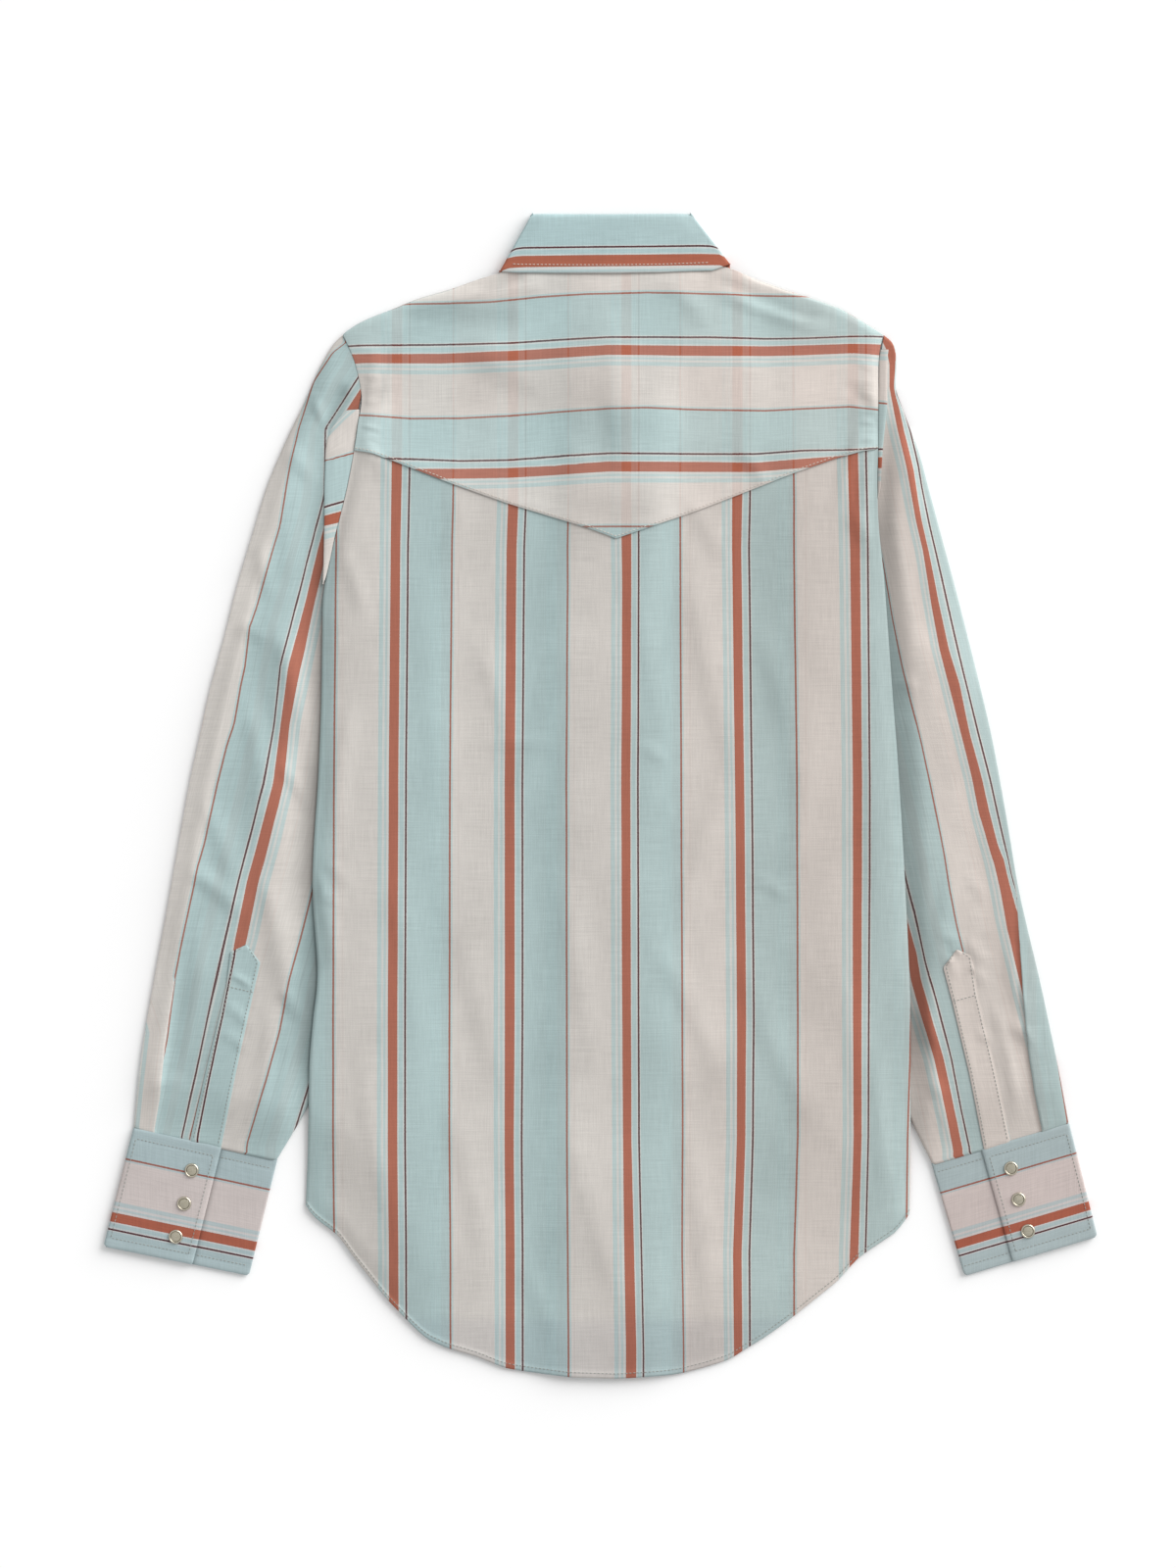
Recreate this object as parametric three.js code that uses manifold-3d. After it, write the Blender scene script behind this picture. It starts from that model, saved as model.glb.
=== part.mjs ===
import * as THREE from "three";
import Module from "manifold-3d";

const wasm = await Module();
wasm.setup();

// Sizes shared by every piece, in millimetres
const wall = 1.0;
const gap = 0.3;
const layer = wall + gap;
const cuffWall = 1.2;
const sleeveTop = 2 * wall + gap;
const sleeveRise = 2 * layer;
const leafRise = layer;
const placketRise = 1.5;
const foldDrop = 1.1;
const edgeInset = 1.8;
const neckInset = 0.6;
const frontHemShort = 2.0;

// Columns of the body, each a share of the width from the left edge
const columns = [
  0, 0.055, 0.11, 0.15, 0.19, 0.23, 0.27, 0.32, 0.36, 0.4, 0.44, 0.457, 0.5,
  0.543, 0.56, 0.6, 0.64, 0.68, 0.73, 0.77, 0.81, 0.85, 0.89, 0.945, 1,
];
const frontEdgeLeft = columns.indexOf(0.457);
const frontEdgeRight = columns.indexOf(0.543);
const centreColumn = columns.indexOf(0.5);
const lastColumn = columns.length - 1;

// Rows of the body from the shoulders to the hem: the two side points, how much of the shoulder,
// yoke point and hem curves the row follows, and how far it is lifted by what lies under it
const rows = [
  { lx: -183.9, ly: 329.6, rx: 201.8, ry: 329.6, top: 1, vee: 0, hem: 0, sleeveL: 0, sleeveR: 0, leaf: 1, placket: 0 },
  { lx: -175.5, ly: 310.0, rx: 198.7, ry: 312.8, top: 0.7, vee: 0.28, hem: 0, sleeveL: 0, sleeveR: 0.5, leaf: 1, placket: 0.2 },
  { lx: -170.6, ly: 285.5, rx: 198.3, ry: 285.5, top: 0.4, vee: 0.55, hem: 0, sleeveL: 0, sleeveR: 1, leaf: 1, placket: 1 },
  { lx: -173.0, ly: 266.6, rx: 198.0, ry: 266.6, top: 0.15, vee: 0.8, hem: 0, sleeveL: 0.55, sleeveR: 1, leaf: 1, placket: 1 },
  { lx: -175.8, ly: 247.0, rx: 198.0, ry: 247.7, top: 0, vee: 1, hem: 0, sleeveL: 1, sleeveR: 1, leaf: 0, placket: 1 },
  { lx: -181.1, ly: 219.0, rx: 197.6, ry: 221.1, top: 0, vee: 0.8, hem: 0, sleeveL: 1, sleeveR: 1, leaf: 0, placket: 1 },
  { lx: -188.8, ly: 187.5, rx: 198.7, ry: 191.7, top: 0, vee: 0.5, hem: 0, sleeveL: 1, sleeveR: 1, leaf: 0, placket: 1 },
  { lx: -197.2, ly: 149.0, rx: 202.5, ry: 156.0, top: 0, vee: 0.25, hem: 0, sleeveL: 1, sleeveR: 1, leaf: 0, placket: 1 },
  { lx: -198.6, ly: 114.0, rx: 205.3, ry: 118.9, top: 0, vee: 0.1, hem: 0, sleeveL: 1, sleeveR: 1, leaf: 0, placket: 1 },
  { lx: -199.3, ly: 68.5, rx: 208.8, ry: 70.6, top: 0, vee: 0, hem: 0, sleeveL: 1, sleeveR: 1, leaf: 0, placket: 1 },
  { lx: -201.4, ly: 16.0, rx: 212.7, ry: 19.5, top: 0, vee: 0, hem: 0, sleeveL: 1, sleeveR: 1, leaf: 0, placket: 1 },
  { lx: -205.6, ly: -60.3, rx: 217.2, ry: -56.1, top: 0, vee: 0, hem: 0.04, sleeveL: 1, sleeveR: 1, leaf: 0, placket: 1 },
  { lx: -202.1, ly: -124.7, rx: 220.7, ry: -131.0, top: 0, vee: 0, hem: 0.14, sleeveL: 1, sleeveR: 1, leaf: 0, placket: 1 },
  { lx: -205.2, ly: -159.0, rx: 221.4, ry: -166.7, top: 0, vee: 0, hem: 0.25, sleeveL: 1, sleeveR: 1, leaf: 0, placket: 1 },
  { lx: -207.7, ly: -189.1, rx: 221.4, ry: -201.0, top: 0, vee: 0, hem: 0.4, sleeveL: 1, sleeveR: 1, leaf: 0, placket: 1 },
  { lx: -208.4, ly: -224.1, rx: 221.4, ry: -240.9, top: 0, vee: 0, hem: 0.58, sleeveL: 1, sleeveR: 1, leaf: 0, placket: 1 },
  { lx: -209.1, ly: -258.4, rx: 221.4, ry: -269.6, top: 0, vee: 0, hem: 0.8, sleeveL: 0.5, sleeveR: 0.5, leaf: 0, placket: 1 },
  { lx: -210.5, ly: -292.0, rx: 220.7, ry: -298.3, top: 0, vee: 0, hem: 1, sleeveL: 0, sleeveR: 0, leaf: 0, placket: 1 },
];
const veeRow = 4;
const scoopRows = 3;
const firstSideSeamRow = 7;
const hemRow = rows.length - 1;

// Shoulder and neck outline, from the left shoulder point to the right one
const topCurve = [
  { x: -183.9, y: 329.6 }, { x: -179.0, y: 334.5 }, { x: -166.4, y: 341.5 }, { x: -147.5, y: 348.5 },
  { x: -131.4, y: 355.5 }, { x: -106.9, y: 362.5 }, { x: -88.7, y: 368.8 }, { x: -71.9, y: 373.7 },
  { x: -57.9, y: 379.3 }, { x: 11.4, y: 380.0 }, { x: 76.5, y: 380.0 }, { x: 93.3, y: 377.2 },
  { x: 103.1, y: 372.3 }, { x: 117.1, y: 367.4 }, { x: 134.6, y: 361.1 }, { x: 152.8, y: 355.5 },
  { x: 171.7, y: 348.5 }, { x: 187.1, y: 339.4 }, { x: 201.8, y: 329.6 },
];

// Lower edge of the yoke, with its point at the middle of the back
const veeCurve = [
  { x: -175.8, y: 247.0 }, { x: -163.6, y: 244.9 }, { x: -149.6, y: 240.0 }, { x: -137.0, y: 235.1 },
  { x: -106.2, y: 223.2 }, { x: -66.3, y: 209.2 }, { x: -22.9, y: 195.9 }, { x: -5.4, y: 190.3 },
  { x: 11.1, y: 184.0 }, { x: 33.8, y: 191.7 }, { x: 70.2, y: 204.3 }, { x: 104.5, y: 217.6 },
  { x: 136.7, y: 230.2 }, { x: 166.8, y: 240.7 }, { x: 187.1, y: 246.3 }, { x: 198.0, y: 247.7 },
];

// Shirt-tail hem, from the left side seam to the right one
const hemCurve = [
  { x: -210.5, y: -292.0 }, { x: -204.9, y: -300.4 }, { x: -186.7, y: -313.7 }, { x: -176.9, y: -328.4 },
  { x: -162.9, y: -345.9 }, { x: -152.4, y: -359.2 }, { x: -134.9, y: -377.4 }, { x: -124.4, y: -387.2 },
  { x: -109.0, y: -394.2 }, { x: -89.4, y: -399.8 }, { x: -68.4, y: -408.2 }, { x: -50.9, y: -411.0 },
  { x: -21.5, y: -414.5 }, { x: 11.4, y: -415.6 }, { x: 40.1, y: -413.8 }, { x: 55.5, y: -412.4 },
  { x: 75.1, y: -407.5 }, { x: 92.6, y: -401.9 }, { x: 103.1, y: -394.9 }, { x: 117.1, y: -386.5 },
  { x: 134.6, y: -373.9 }, { x: 152.1, y: -359.9 }, { x: 169.6, y: -345.9 }, { x: 183.6, y: -329.8 },
  { x: 197.6, y: -320.0 }, { x: 211.6, y: -310.9 }, { x: 220.7, y: -298.3 },
];

// Front neckline: how low the fronts start in each column near the middle
const scoopCurve = [
  { across: 0.36, y: 346.0 }, { across: 0.4, y: 322.0 }, { across: 0.44, y: 304.0 }, { across: 0.457, y: 299.0 },
  { across: 0.5, y: 292.5 }, { across: 0.543, y: 299.0 }, { across: 0.56, y: 304.0 }, { across: 0.6, y: 322.0 },
  { across: 0.64, y: 346.0 },
];

function lerp(a, b, t) {
  return a + (b - a) * t;
}

function ease(value, from, to) {
  const t = Math.min(1, Math.max(0, (value - from) / (to - from)));
  return (1 - Math.cos(Math.PI * t)) / 2;
}

function hump(value, from, full, fullEnd, to) {
  return ease(value, from, full) - ease(value, fullEnd, to);
}

function curveAt(curve, x) {
  let k = 1;
  while (k < curve.length - 1 && curve[k].x < x) k += 1;
  const a = curve[k - 1];
  const b = curve[k];
  return lerp(a.y, b.y, (x - a.x) / (b.x - a.x));
}

function rowSpan(row, share) {
  return { x: lerp(row.lx, row.rx, share), y: lerp(row.ly, row.ry, share) };
}

function bulge(curve, row, share) {
  const straight = rowSpan(row, share);
  return curveAt(curve, straight.x) - straight.y;
}

// Point of the body's outline grid
function bodyPoint(r, c) {
  const row = rows[r];
  const share = columns[c];
  const point = rowSpan(row, share);
  point.y += row.top * bulge(topCurve, rows[0], share);
  point.y += row.vee * bulge(veeCurve, rows[veeRow], share);
  point.y += row.hem * bulge(hemCurve, rows[hemRow], share);
  return point;
}

const grid = rows.map((row, r) => columns.map((share, c) => bodyPoint(r, c)));

// Point of a column line at a given height up the body
function columnPoint(c, y) {
  let r = 1;
  while (r < hemRow && grid[r][c].y > y) r += 1;
  const a = grid[r - 1][c];
  const b = grid[r][c];
  return { x: lerp(a.x, b.x, (y - a.y) / (b.y - a.y)), y };
}

// Point of the front panels, which start lower than the back around the neck
function frontPoint(r, c) {
  const scoop = scoopCurve.find((entry) => entry.across === columns[c]);
  if (r === hemRow) return { x: grid[r][c].x, y: grid[r][c].y + frontHemShort };
  if (!scoop || r >= scoopRows) return grid[r][c];
  return columnPoint(c, lerp(scoop.y, grid[scoopRows][c].y, r / scoopRows));
}

// Height of the lowest front layer over what lies under it
function rise(r, c) {
  const row = rows[r];
  const share = columns[c];
  const left = row.sleeveL * (1 - ease(share, 0.11, 0.27));
  const right = row.sleeveR * ease(share, 0.73, 0.89);
  const leaf = row.leaf * hump(share, 0.19, 0.27, 0.73, 0.81);
  const placket = row.placket * hump(share, 0.36, 0.44, 0.56, 0.64);
  return sleeveRise * (left + right) + leafRise * leaf + placketRise * placket;
}

function overlapRise(r, c) {
  return layer * rows[r].placket * hump(columns[c], 0.36, 0.44, 0.56, 0.64);
}

// One closed body between an upper and a lower grid of points
function slab(upper, lower, ring = false) {
  const count = upper[0].length;
  const positions = [];
  const indices = [];
  for (const points of [...upper, ...lower]) {
    for (const point of points) positions.push(point[0], point[1], point[2]);
  }
  const up = (r, c) => r * count + (c % count);
  const down = (r, c) => (upper.length + r) * count + (c % count);
  const quad = (a, b, c, d) => indices.push(a, b, c, a, c, d);
  const spans = ring ? count : count - 1;
  for (let r = 0; r < upper.length - 1; r += 1) {
    for (let c = 0; c < spans; c += 1) {
      quad(up(r, c), up(r + 1, c), up(r + 1, c + 1), up(r, c + 1));
      quad(down(r, c), down(r, c + 1), down(r + 1, c + 1), down(r + 1, c));
    }
    if (!ring) {
      quad(up(r, 0), down(r, 0), down(r + 1, 0), up(r + 1, 0));
      quad(up(r, spans), up(r + 1, spans), down(r + 1, spans), down(r, spans));
    }
  }
  const end = upper.length - 1;
  for (let c = 0; c < spans; c += 1) {
    quad(up(0, c), up(0, c + 1), down(0, c + 1), down(0, c));
    quad(up(end, c), down(end, c), down(end, c + 1), up(end, c + 1));
  }
  return facingOut(positions, indices);
}

function facingOut(positions, indices) {
  const a = new THREE.Vector3();
  const b = new THREE.Vector3();
  const c = new THREE.Vector3();
  let volume = 0;
  for (let k = 0; k < indices.length; k += 3) {
    a.fromArray(positions, 3 * indices[k]);
    b.fromArray(positions, 3 * indices[k + 1]);
    c.fromArray(positions, 3 * indices[k + 2]);
    volume += a.dot(b.cross(c));
  }
  if (volume < 0) {
    for (let k = 0; k < indices.length; k += 3) {
      const first = indices[k];
      indices[k] = indices[k + 1];
      indices[k + 1] = first;
    }
  }
  const geometry = new THREE.BufferGeometry();
  geometry.setAttribute("position", new THREE.Float32BufferAttribute(positions, 3));
  geometry.setIndex(indices);
  return geometry;
}

// How much of the top edge turns down over the shoulder seam in each column
function shoulderLip(c) {
  return ease(columns[c], 0.27, 0.23) * ease(columns[c], 0, 0.05) +
    ease(columns[c], 0.73, 0.77) * ease(columns[c], 1, 0.95);
}

function topInset(c) {
  const neck = hump(columns[c], 0.27, 0.32, 0.68, 0.73);
  return lerp(edgeInset, neckInset, neck);
}

// The shoulder corners keep inside the armhole line when they are moved down
function cornerShift(r, c) {
  if (r > 0) return 0;
  if (c === 0) return 0.9;
  return c === lastColumn ? -0.6 : 0;
}

function seamLip(r) {
  return r >= firstSideSeamRow ? 1 : 0;
}

function frontInset(r) {
  return r >= firstSideSeamRow - 1 ? edgeInset : 0;
}

// The whole back, with side edges turned down over the fronts
function backPanel() {
  const upper = [];
  const lower = [];
  for (let r = 0; r < rows.length; r += 1) {
    const lip = seamLip(r);
    const up = [];
    const low = [];
    const put = (c, shiftUp, shiftLow, drop) => {
      const point = grid[r][c];
      const x = point.x + cornerShift(r, c);
      const y = point.y - (r === 0 ? topInset(c) : 0);
      const z = rise(r, c) + layer + overlapRise(r, c) - drop;
      up.push([x + shiftUp, y, z + wall]);
      low.push([x + shiftLow, y, z]);
    };
    put(0, 0, 1.0 * lip, foldDrop * lip);
    put(0, 0.8, 0.8 + 0.65 * lip, 0);
    for (let c = 1; c < lastColumn; c += 1) put(c, 0, 0, 0);
    put(lastColumn, -0.8, -0.8 - 0.65 * lip, 0);
    put(lastColumn, 0, -1.0 * lip, foldDrop * lip);
    upper.push(up);
    lower.push(low);
  }
  return slab(upper, lower);
}

// The yoke lies on the back and turns down over the shoulders
function backYoke() {
  const upper = [];
  const lower = [];
  const lift = (r, c) => rise(r, c) + 2 * layer + overlapRise(r, c);
  const rim = (offsetUp, offsetLow, dropShare) => {
    const up = [];
    const low = [];
    for (let c = 0; c <= lastColumn; c += 1) {
      const lip = shoulderLip(c);
      const point = grid[0][c];
      const z = lift(0, c) - (2 * layer - gap) * dropShare * lip;
      up.push([point.x, point.y - offsetUp(lip), z + wall]);
      low.push([point.x, point.y - offsetLow(lip), z]);
    }
    upper.push(up);
    lower.push(low);
  };
  rim((lip) => neckInset * (1 - lip), (lip) => neckInset + (1.0 - neckInset) * lip, 1);
  rim((lip) => neckInset + 0.8 - 0.6 * lip, (lip) => neckInset + 0.8 + 0.05 * lip, 0);
  for (let r = 1; r <= veeRow; r += 1) {
    upper.push(grid[r].map((point, c) => [point.x, point.y, lift(r, c) + wall]));
    lower.push(grid[r].map((point, c) => [point.x, point.y, lift(r, c)]));
  }
  return slab(upper, lower);
}

// A front piece between two columns
function front(first, last, { shiftFirst = 0, over = () => 0 }) {
  const upper = [];
  const lower = [];
  for (let r = 0; r < rows.length; r += 1) {
    const up = [];
    const low = [];
    for (let c = first; c <= last; c += 1) {
      const point = frontPoint(r, c);
      let x = point.x + cornerShift(r, c);
      if (c === 0) x += frontInset(r);
      if (c === lastColumn) x -= frontInset(r);
      if (c === first) x += shiftFirst;
      const y = point.y - (r === 0 ? topInset(c) : 0);
      const z = rise(r, c) + over(r, c);
      up.push([x, y, z + wall]);
      low.push([x, y, z]);
    }
    upper.push(up);
    lower.push(low);
  }
  return slab(upper, lower);
}

// The right front passes over the placket and settles beside it, flat along the neckline
function closureRise(r, c) {
  const beside = columns[c] > 0.56 && r < scoopRows ? r / scoopRows : 1;
  return layer * beside * (1 - ease(columns[c], 0.56, 0.64));
}

// Height of an armhole edge above the table, part of the way down the side
function armholeRise(side, y) {
  const c = side === "left" ? 0 : lastColumn;
  let r = 1;
  while (r < hemRow && grid[r][c].y > y) r += 1;
  const a = grid[r - 1][c];
  const b = grid[r][c];
  return lerp(rise(r - 1, c), rise(r, c), (y - a.y) / (b.y - a.y));
}

// Sleeves from the armhole to the cuff: the outer fold and the fold under the body
const sleeveLeft = [
  { ox: -184.4, oy: 329.6, ix: -171.1, iy: 285.5, mx: -176.0, my: 309.9 },
  { ox: -191.6, oy: 321.9, ix: -173.5, iy: 272.2 }, { ox: -201.4, oy: 304.4, ix: -176.4, iy: 250.5 },
  { ox: -211.9, oy: 280.6, ix: -172.7, iy: 229.5 }, { ox: -223.1, oy: 257.5, ix: -169.2, iy: 206.4 },
  { ox: -237.8, oy: 222.5, ix: -165.7, iy: 175.6 }, { ox: -249.0, oy: 186.1, ix: -163.6, iy: 142.0 },
  { ox: -259.5, oy: 151.1, ix: -162.9, iy: 107.0 }, { ox: -268.6, oy: 114.7, ix: -162.9, iy: 73.4 },
  { ox: -278.4, oy: 79.0, ix: -162.9, iy: 39.1 }, { ox: -286.1, oy: 44.7, ix: -163.6, iy: 5.5 },
  { ox: -293.8, oy: 9.0, ix: -165.0, iy: -26.0 }, { ox: -300.1, oy: -26.0, ix: -167.1, iy: -57.5 },
  { ox: -305.7, oy: -57.5, ix: -171.3, iy: -85.5 }, { ox: -311.3, oy: -89.0, ix: -176.9, iy: -113.5 },
  { ox: -317.2, oy: -120.5, ix: -183.2, iy: -141.5 }, { ox: -322.8, oy: -152.0, ix: -190.9, iy: -169.5 },
  { ox: -327.4, oy: -180.0, ix: -199.3, iy: -197.5 }, { ox: -331.0, oy: -209.4, ix: -210.5, iy: -224.1 },
  { ox: -333.4, oy: -235.9, ix: -230.8, iy: -258.5 },
];
const sleeveRight = [
  { ox: 202.5, oy: 329.6, ix: 199.4, iy: 312.1 },
  { ox: 209.5, oy: 322.6, ix: 199.2, iy: 300.9 }, { ox: 211.3, oy: 311.4, ix: 199.0, iy: 286.2 },
  { ox: 210.9, oy: 292.5, ix: 193.4, iy: 263.8 }, { ox: 215.8, oy: 277.1, ix: 187.1, iy: 240.0 },
  { ox: 227.0, oy: 247.0, ix: 179.4, iy: 216.9 }, { ox: 234.7, oy: 219.0, ix: 173.8, iy: 185.4 },
  { ox: 243.1, oy: 187.5, ix: 171.0, iy: 149.0 }, { ox: 252.9, oy: 151.1, ix: 169.6, iy: 114.0 },
  { ox: 262.0, oy: 115.4, ix: 171.0, iy: 79.0 }, { ox: 271.1, oy: 79.0, ix: 173.8, iy: 44.0 },
  { ox: 279.5, oy: 42.6, ix: 177.3, iy: 9.0 }, { ox: 286.5, oy: 5.5, ix: 181.5, iy: -26.0 },
  { ox: 292.5, oy: -29.5, ix: 186.4, iy: -61.0 }, { ox: 298.4, oy: -64.5, ix: 191.3, iy: -96.0 },
  { ox: 305.8, oy: -97.4, ix: 196.2, iy: -127.5 }, { ox: 313.8, oy: -131.0, ix: 202.5, iy: -159.0 },
  { ox: 320.8, oy: -163.9, ix: 209.5, iy: -188.4 }, { ox: 327.8, oy: -197.5, ix: 218.6, iy: -223.4 },
  { ox: 334.4, oy: -232.6, ix: 236.6, iy: -261.4 },
];

// Part of each sleeve head that lies on top, from the armhole seam to the fold over the sleeve
const flapLeft = [
  { sx: -172.7, sy: 276.4, fx: -181.2, fy: 275.7 }, { sx: -173.0, sy: 270.1, fx: -188.1, fy: 268.7 },
  { sx: -174.4, sy: 259.6, fx: -193.7, fy: 259.6 }, { sx: -176.2, sy: 247.0, fx: -196.1, fy: 248.4 },
  { sx: -179.0, sy: 233.0, fx: -196.8, fy: 233.0 }, { sx: -182.5, sy: 215.5, fx: -197.2, fy: 215.5 },
  { sx: -187.3, sy: 195.9, fx: -197.2, fy: 198.0 }, { sx: -190.0, sy: 185.4, fx: -197.4, fy: 182.6 },
  { sx: -193.4, sy: 168.6, fx: -197.8, fy: 166.5 }, { sx: -195.9, sy: 157.4, fx: -198.2, fy: 156.4 },
];
const flapRight = [
  { sx: 200.2, sy: 319.0, fx: 205.8, fy: 319.4 }, { sx: 199.2, sy: 311.0, fx: 204.9, fy: 311.0 },
  { sx: 199.0, sy: 297.0, fx: 204.8, fy: 297.0 }, { sx: 198.7, sy: 280.0, fx: 204.6, fy: 280.0 },
  { sx: 198.5, sy: 266.6, fx: 203.6, fy: 268.0 }, { sx: 198.4, sy: 247.7, fx: 201.5, fy: 247.7 },
  { sx: 198.1, sy: 233.0, fx: 200.6, fy: 233.0 }, { sx: 198.0, sy: 221.1, fx: 200.0, fy: 221.1 },
];
const flapLeg = 1.2;
const flapSink = 0.5;
const joinTolerance = 0.02;

// Section of a flattened sleeve: distance across as a share plus a length, for both faces of the cloth
const sleeveSection = [
  { share: 0, out: 0, inn: 1.0, zo: 0.75, zi: 1.1 }, { share: 0, out: 0, inn: 1.0, zo: 1.55, zi: 1.2 },
  { share: 0, out: 0.7, inn: 1.2, zo: 2.3, zi: 1.3 }, { share: 0.15, out: 0, inn: 0, zo: 2.3, zi: 1.3 },
  { share: 0.4, out: 0, inn: 0, zo: 2.3, zi: 1.3 }, { share: 0.65, out: 0, inn: 0, zo: 2.3, zi: 1.3 },
  { share: 1, out: -0.7, inn: -1.2, zo: 2.3, zi: 1.3 }, { share: 1, out: 0, inn: -1.0, zo: 1.55, zi: 1.2 },
  { share: 1, out: 0, inn: -1.0, zo: 0.75, zi: 1.1 }, { share: 1, out: -0.7, inn: -1.2, zo: 0, zi: 1.0 },
  { share: 0.65, out: 0, inn: 0, zo: 0, zi: 1.0 }, { share: 0.4, out: 0, inn: 0, zo: 0, zi: 1.0 },
  { share: 0.15, out: 0, inn: 0, zo: 0, zi: 1.0 }, { share: 0, out: 0.7, inn: 1.2, zo: 0, zi: 1.0 },
];
const seamMiddle = 0.45;

function stationPoint(station, share, length, z) {
  const width = Math.hypot(station.ix - station.ox, station.iy - station.oy);
  const t = share + length / width;
  if (station.mx === undefined) {
    return [lerp(station.ox, station.ix, t), lerp(station.oy, station.iy, t), z];
  }
  if (t < seamMiddle) {
    const u = t / seamMiddle;
    return [lerp(station.ox, station.mx, u), lerp(station.oy, station.my, u), z];
  }
  const u = (t - seamMiddle) / (1 - seamMiddle);
  return [lerp(station.mx, station.ix, u), lerp(station.my, station.iy, u), z];
}

function sleeveTube(stations) {
  const upper = stations.map((station) =>
    sleeveSection.map((part) => stationPoint(station, part.share, part.out, part.zo)));
  const lower = stations.map((station) =>
    sleeveSection.map((part) => stationPoint(station, part.share, part.inn, part.zi)));
  return slab(upper, lower, true);
}

function sleeveFlap(side, flap) {
  const inward = side === "left" ? 1 : -1;
  const upper = [];
  const lower = [];
  for (const part of flap) {
    const z = armholeRise(side, part.sy) + layer;
    const foot = Math.min(sleeveTop - flapSink, z);
    const mid = { x: (part.sx + part.fx) / 2, y: (part.sy + part.fy) / 2 };
    upper.push([
      [part.sx, part.sy, z + wall], [mid.x, mid.y, z + wall],
      [part.fx + 0.5 * inward, part.fy, z + wall], [part.fx, part.fy, z + 0.4], [part.fx, part.fy, foot],
    ]);
    lower.push([
      [part.sx, part.sy, z], [mid.x, mid.y, z],
      [part.fx + (flapLeg + 0.4) * inward, part.fy, z], [part.fx + (flapLeg + 0.1) * inward, part.fy, z - 0.1],
      [part.fx + flapLeg * inward, part.fy, foot - 0.2],
    ]);
  }
  return slab(upper, lower);
}

function solid(geometry) {
  const mesh = new wasm.Mesh({
    numProp: 3,
    vertProperties: new Float32Array(geometry.attributes.position.array),
    triVerts: new Uint32Array(geometry.index.array),
  });
  return new wasm.Manifold(mesh);
}

function joined(first, second) {
  const mesh = solid(first).add(solid(second)).simplify(joinTolerance).getMesh();
  const geometry = new THREE.BufferGeometry();
  geometry.setAttribute("position", new THREE.Float32BufferAttribute(mesh.vertProperties, 3));
  geometry.setIndex(Array.from(mesh.triVerts));
  return geometry;
}

function sleeve(side, stations, flap) {
  return joined(sleeveTube(stations), sleeveFlap(side, flap));
}

// Pointed sleeve plackets, from the cuff to the point, left and right edges
const placketLeft = [
  { ax: -292.7, ay: -243.4, bx: -270.5, by: -248.4 }, { ax: -279.0, ay: -186.0, bx: -258.5, by: -191.0 },
  { ax: -266.5, ay: -135.2, bx: -247.2, by: -139.7 }, { ax: -263.7, ay: -110.7, bx: -242.3, by: -118.3 },
  { ax: -252.5, ay: -105.6, bx: -251.3, by: -106.0 },
];
const placketRight = [
  { ax: 273.4, ay: -249.9, bx: 292.4, by: -244.2 }, { ax: 262.5, ay: -196.0, bx: 280.8, by: -191.0 },
  { ax: 250.7, ay: -146.4, bx: 269.0, by: -141.5 }, { ax: 244.2, ay: -121.9, bx: 265.2, by: -113.7 },
  { ax: 253.4, ay: -109.6, bx: 254.8, by: -109.2 },
];

function sleevePlacket(table) {
  const at = (height) => table.map((part) => [
    [part.ax, part.ay, height],
    [(part.ax + part.bx) / 2, (part.ay + part.by) / 2, height],
    [part.bx, part.by, height],
  ]);
  const floor = sleeveTop + gap;
  return slab(at(floor + wall), at(floor));
}

// Cuff corners: outer and inner end of the top edge and of the bottom edge
const cuffLeft = {
  top: [-333.4, -236.5, -230.8, -259.1], bottom: [-354.9, -321.2, -251.1, -342.2], underlap: 0.42, overlap: 0.613,
};
const cuffRight = {
  top: [334.6, -233.2, 236.5, -262.1], bottom: [354.9, -314.2, 260.1, -342.4], underlap: 0.45, overlap: 0.639,
};
const cuffRowShares = [0, 0.35, 0.7, 0.95, 1];
const cuffCorner = 1.6;

// The band winds from the hidden end, round the underside and back over the top
function cuffPath(cuff) {
  const one = cuffWall;
  const two = 2 * cuffWall + gap;
  const three = 3 * cuffWall + 2 * gap;
  return [
    { share: cuff.underlap, out: 0, inn: 0, zo: two, zi: one + gap },
    { share: 0.7, out: 0, inn: 0, zo: two, zi: one + gap },
    { share: 1, out: -0.8, inn: -1.4, zo: two, zi: one + gap },
    { share: 1, out: 0, inn: -1.2, zo: two - 0.8, zi: one + 0.22 },
    { share: 1, out: 0, inn: -1.2, zo: 0.8, zi: one + 0.08 },
    { share: 1, out: -0.8, inn: -1.4, zo: 0, zi: one },
    { share: 0.7, out: 0, inn: 0, zo: 0, zi: one },
    { share: 0.35, out: 0, inn: 0, zo: 0, zi: one },
    { share: 0, out: 1.0, inn: 1.5, zo: 0, zi: one },
    { share: 0, out: 0, inn: 1.2, zo: 1.0, zi: one + 0.3 },
    { share: 0, out: 0, inn: 1.2, zo: three - 1.0, zi: three - one - 0.3 },
    { share: 0, out: 1.0, inn: 1.5, zo: three, zi: three - one },
    { share: 0.35, out: 0, inn: 0, zo: three, zi: three - one },
    { share: cuff.overlap, out: 0, inn: 0, zo: three, zi: three - one },
  ];
}

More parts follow.
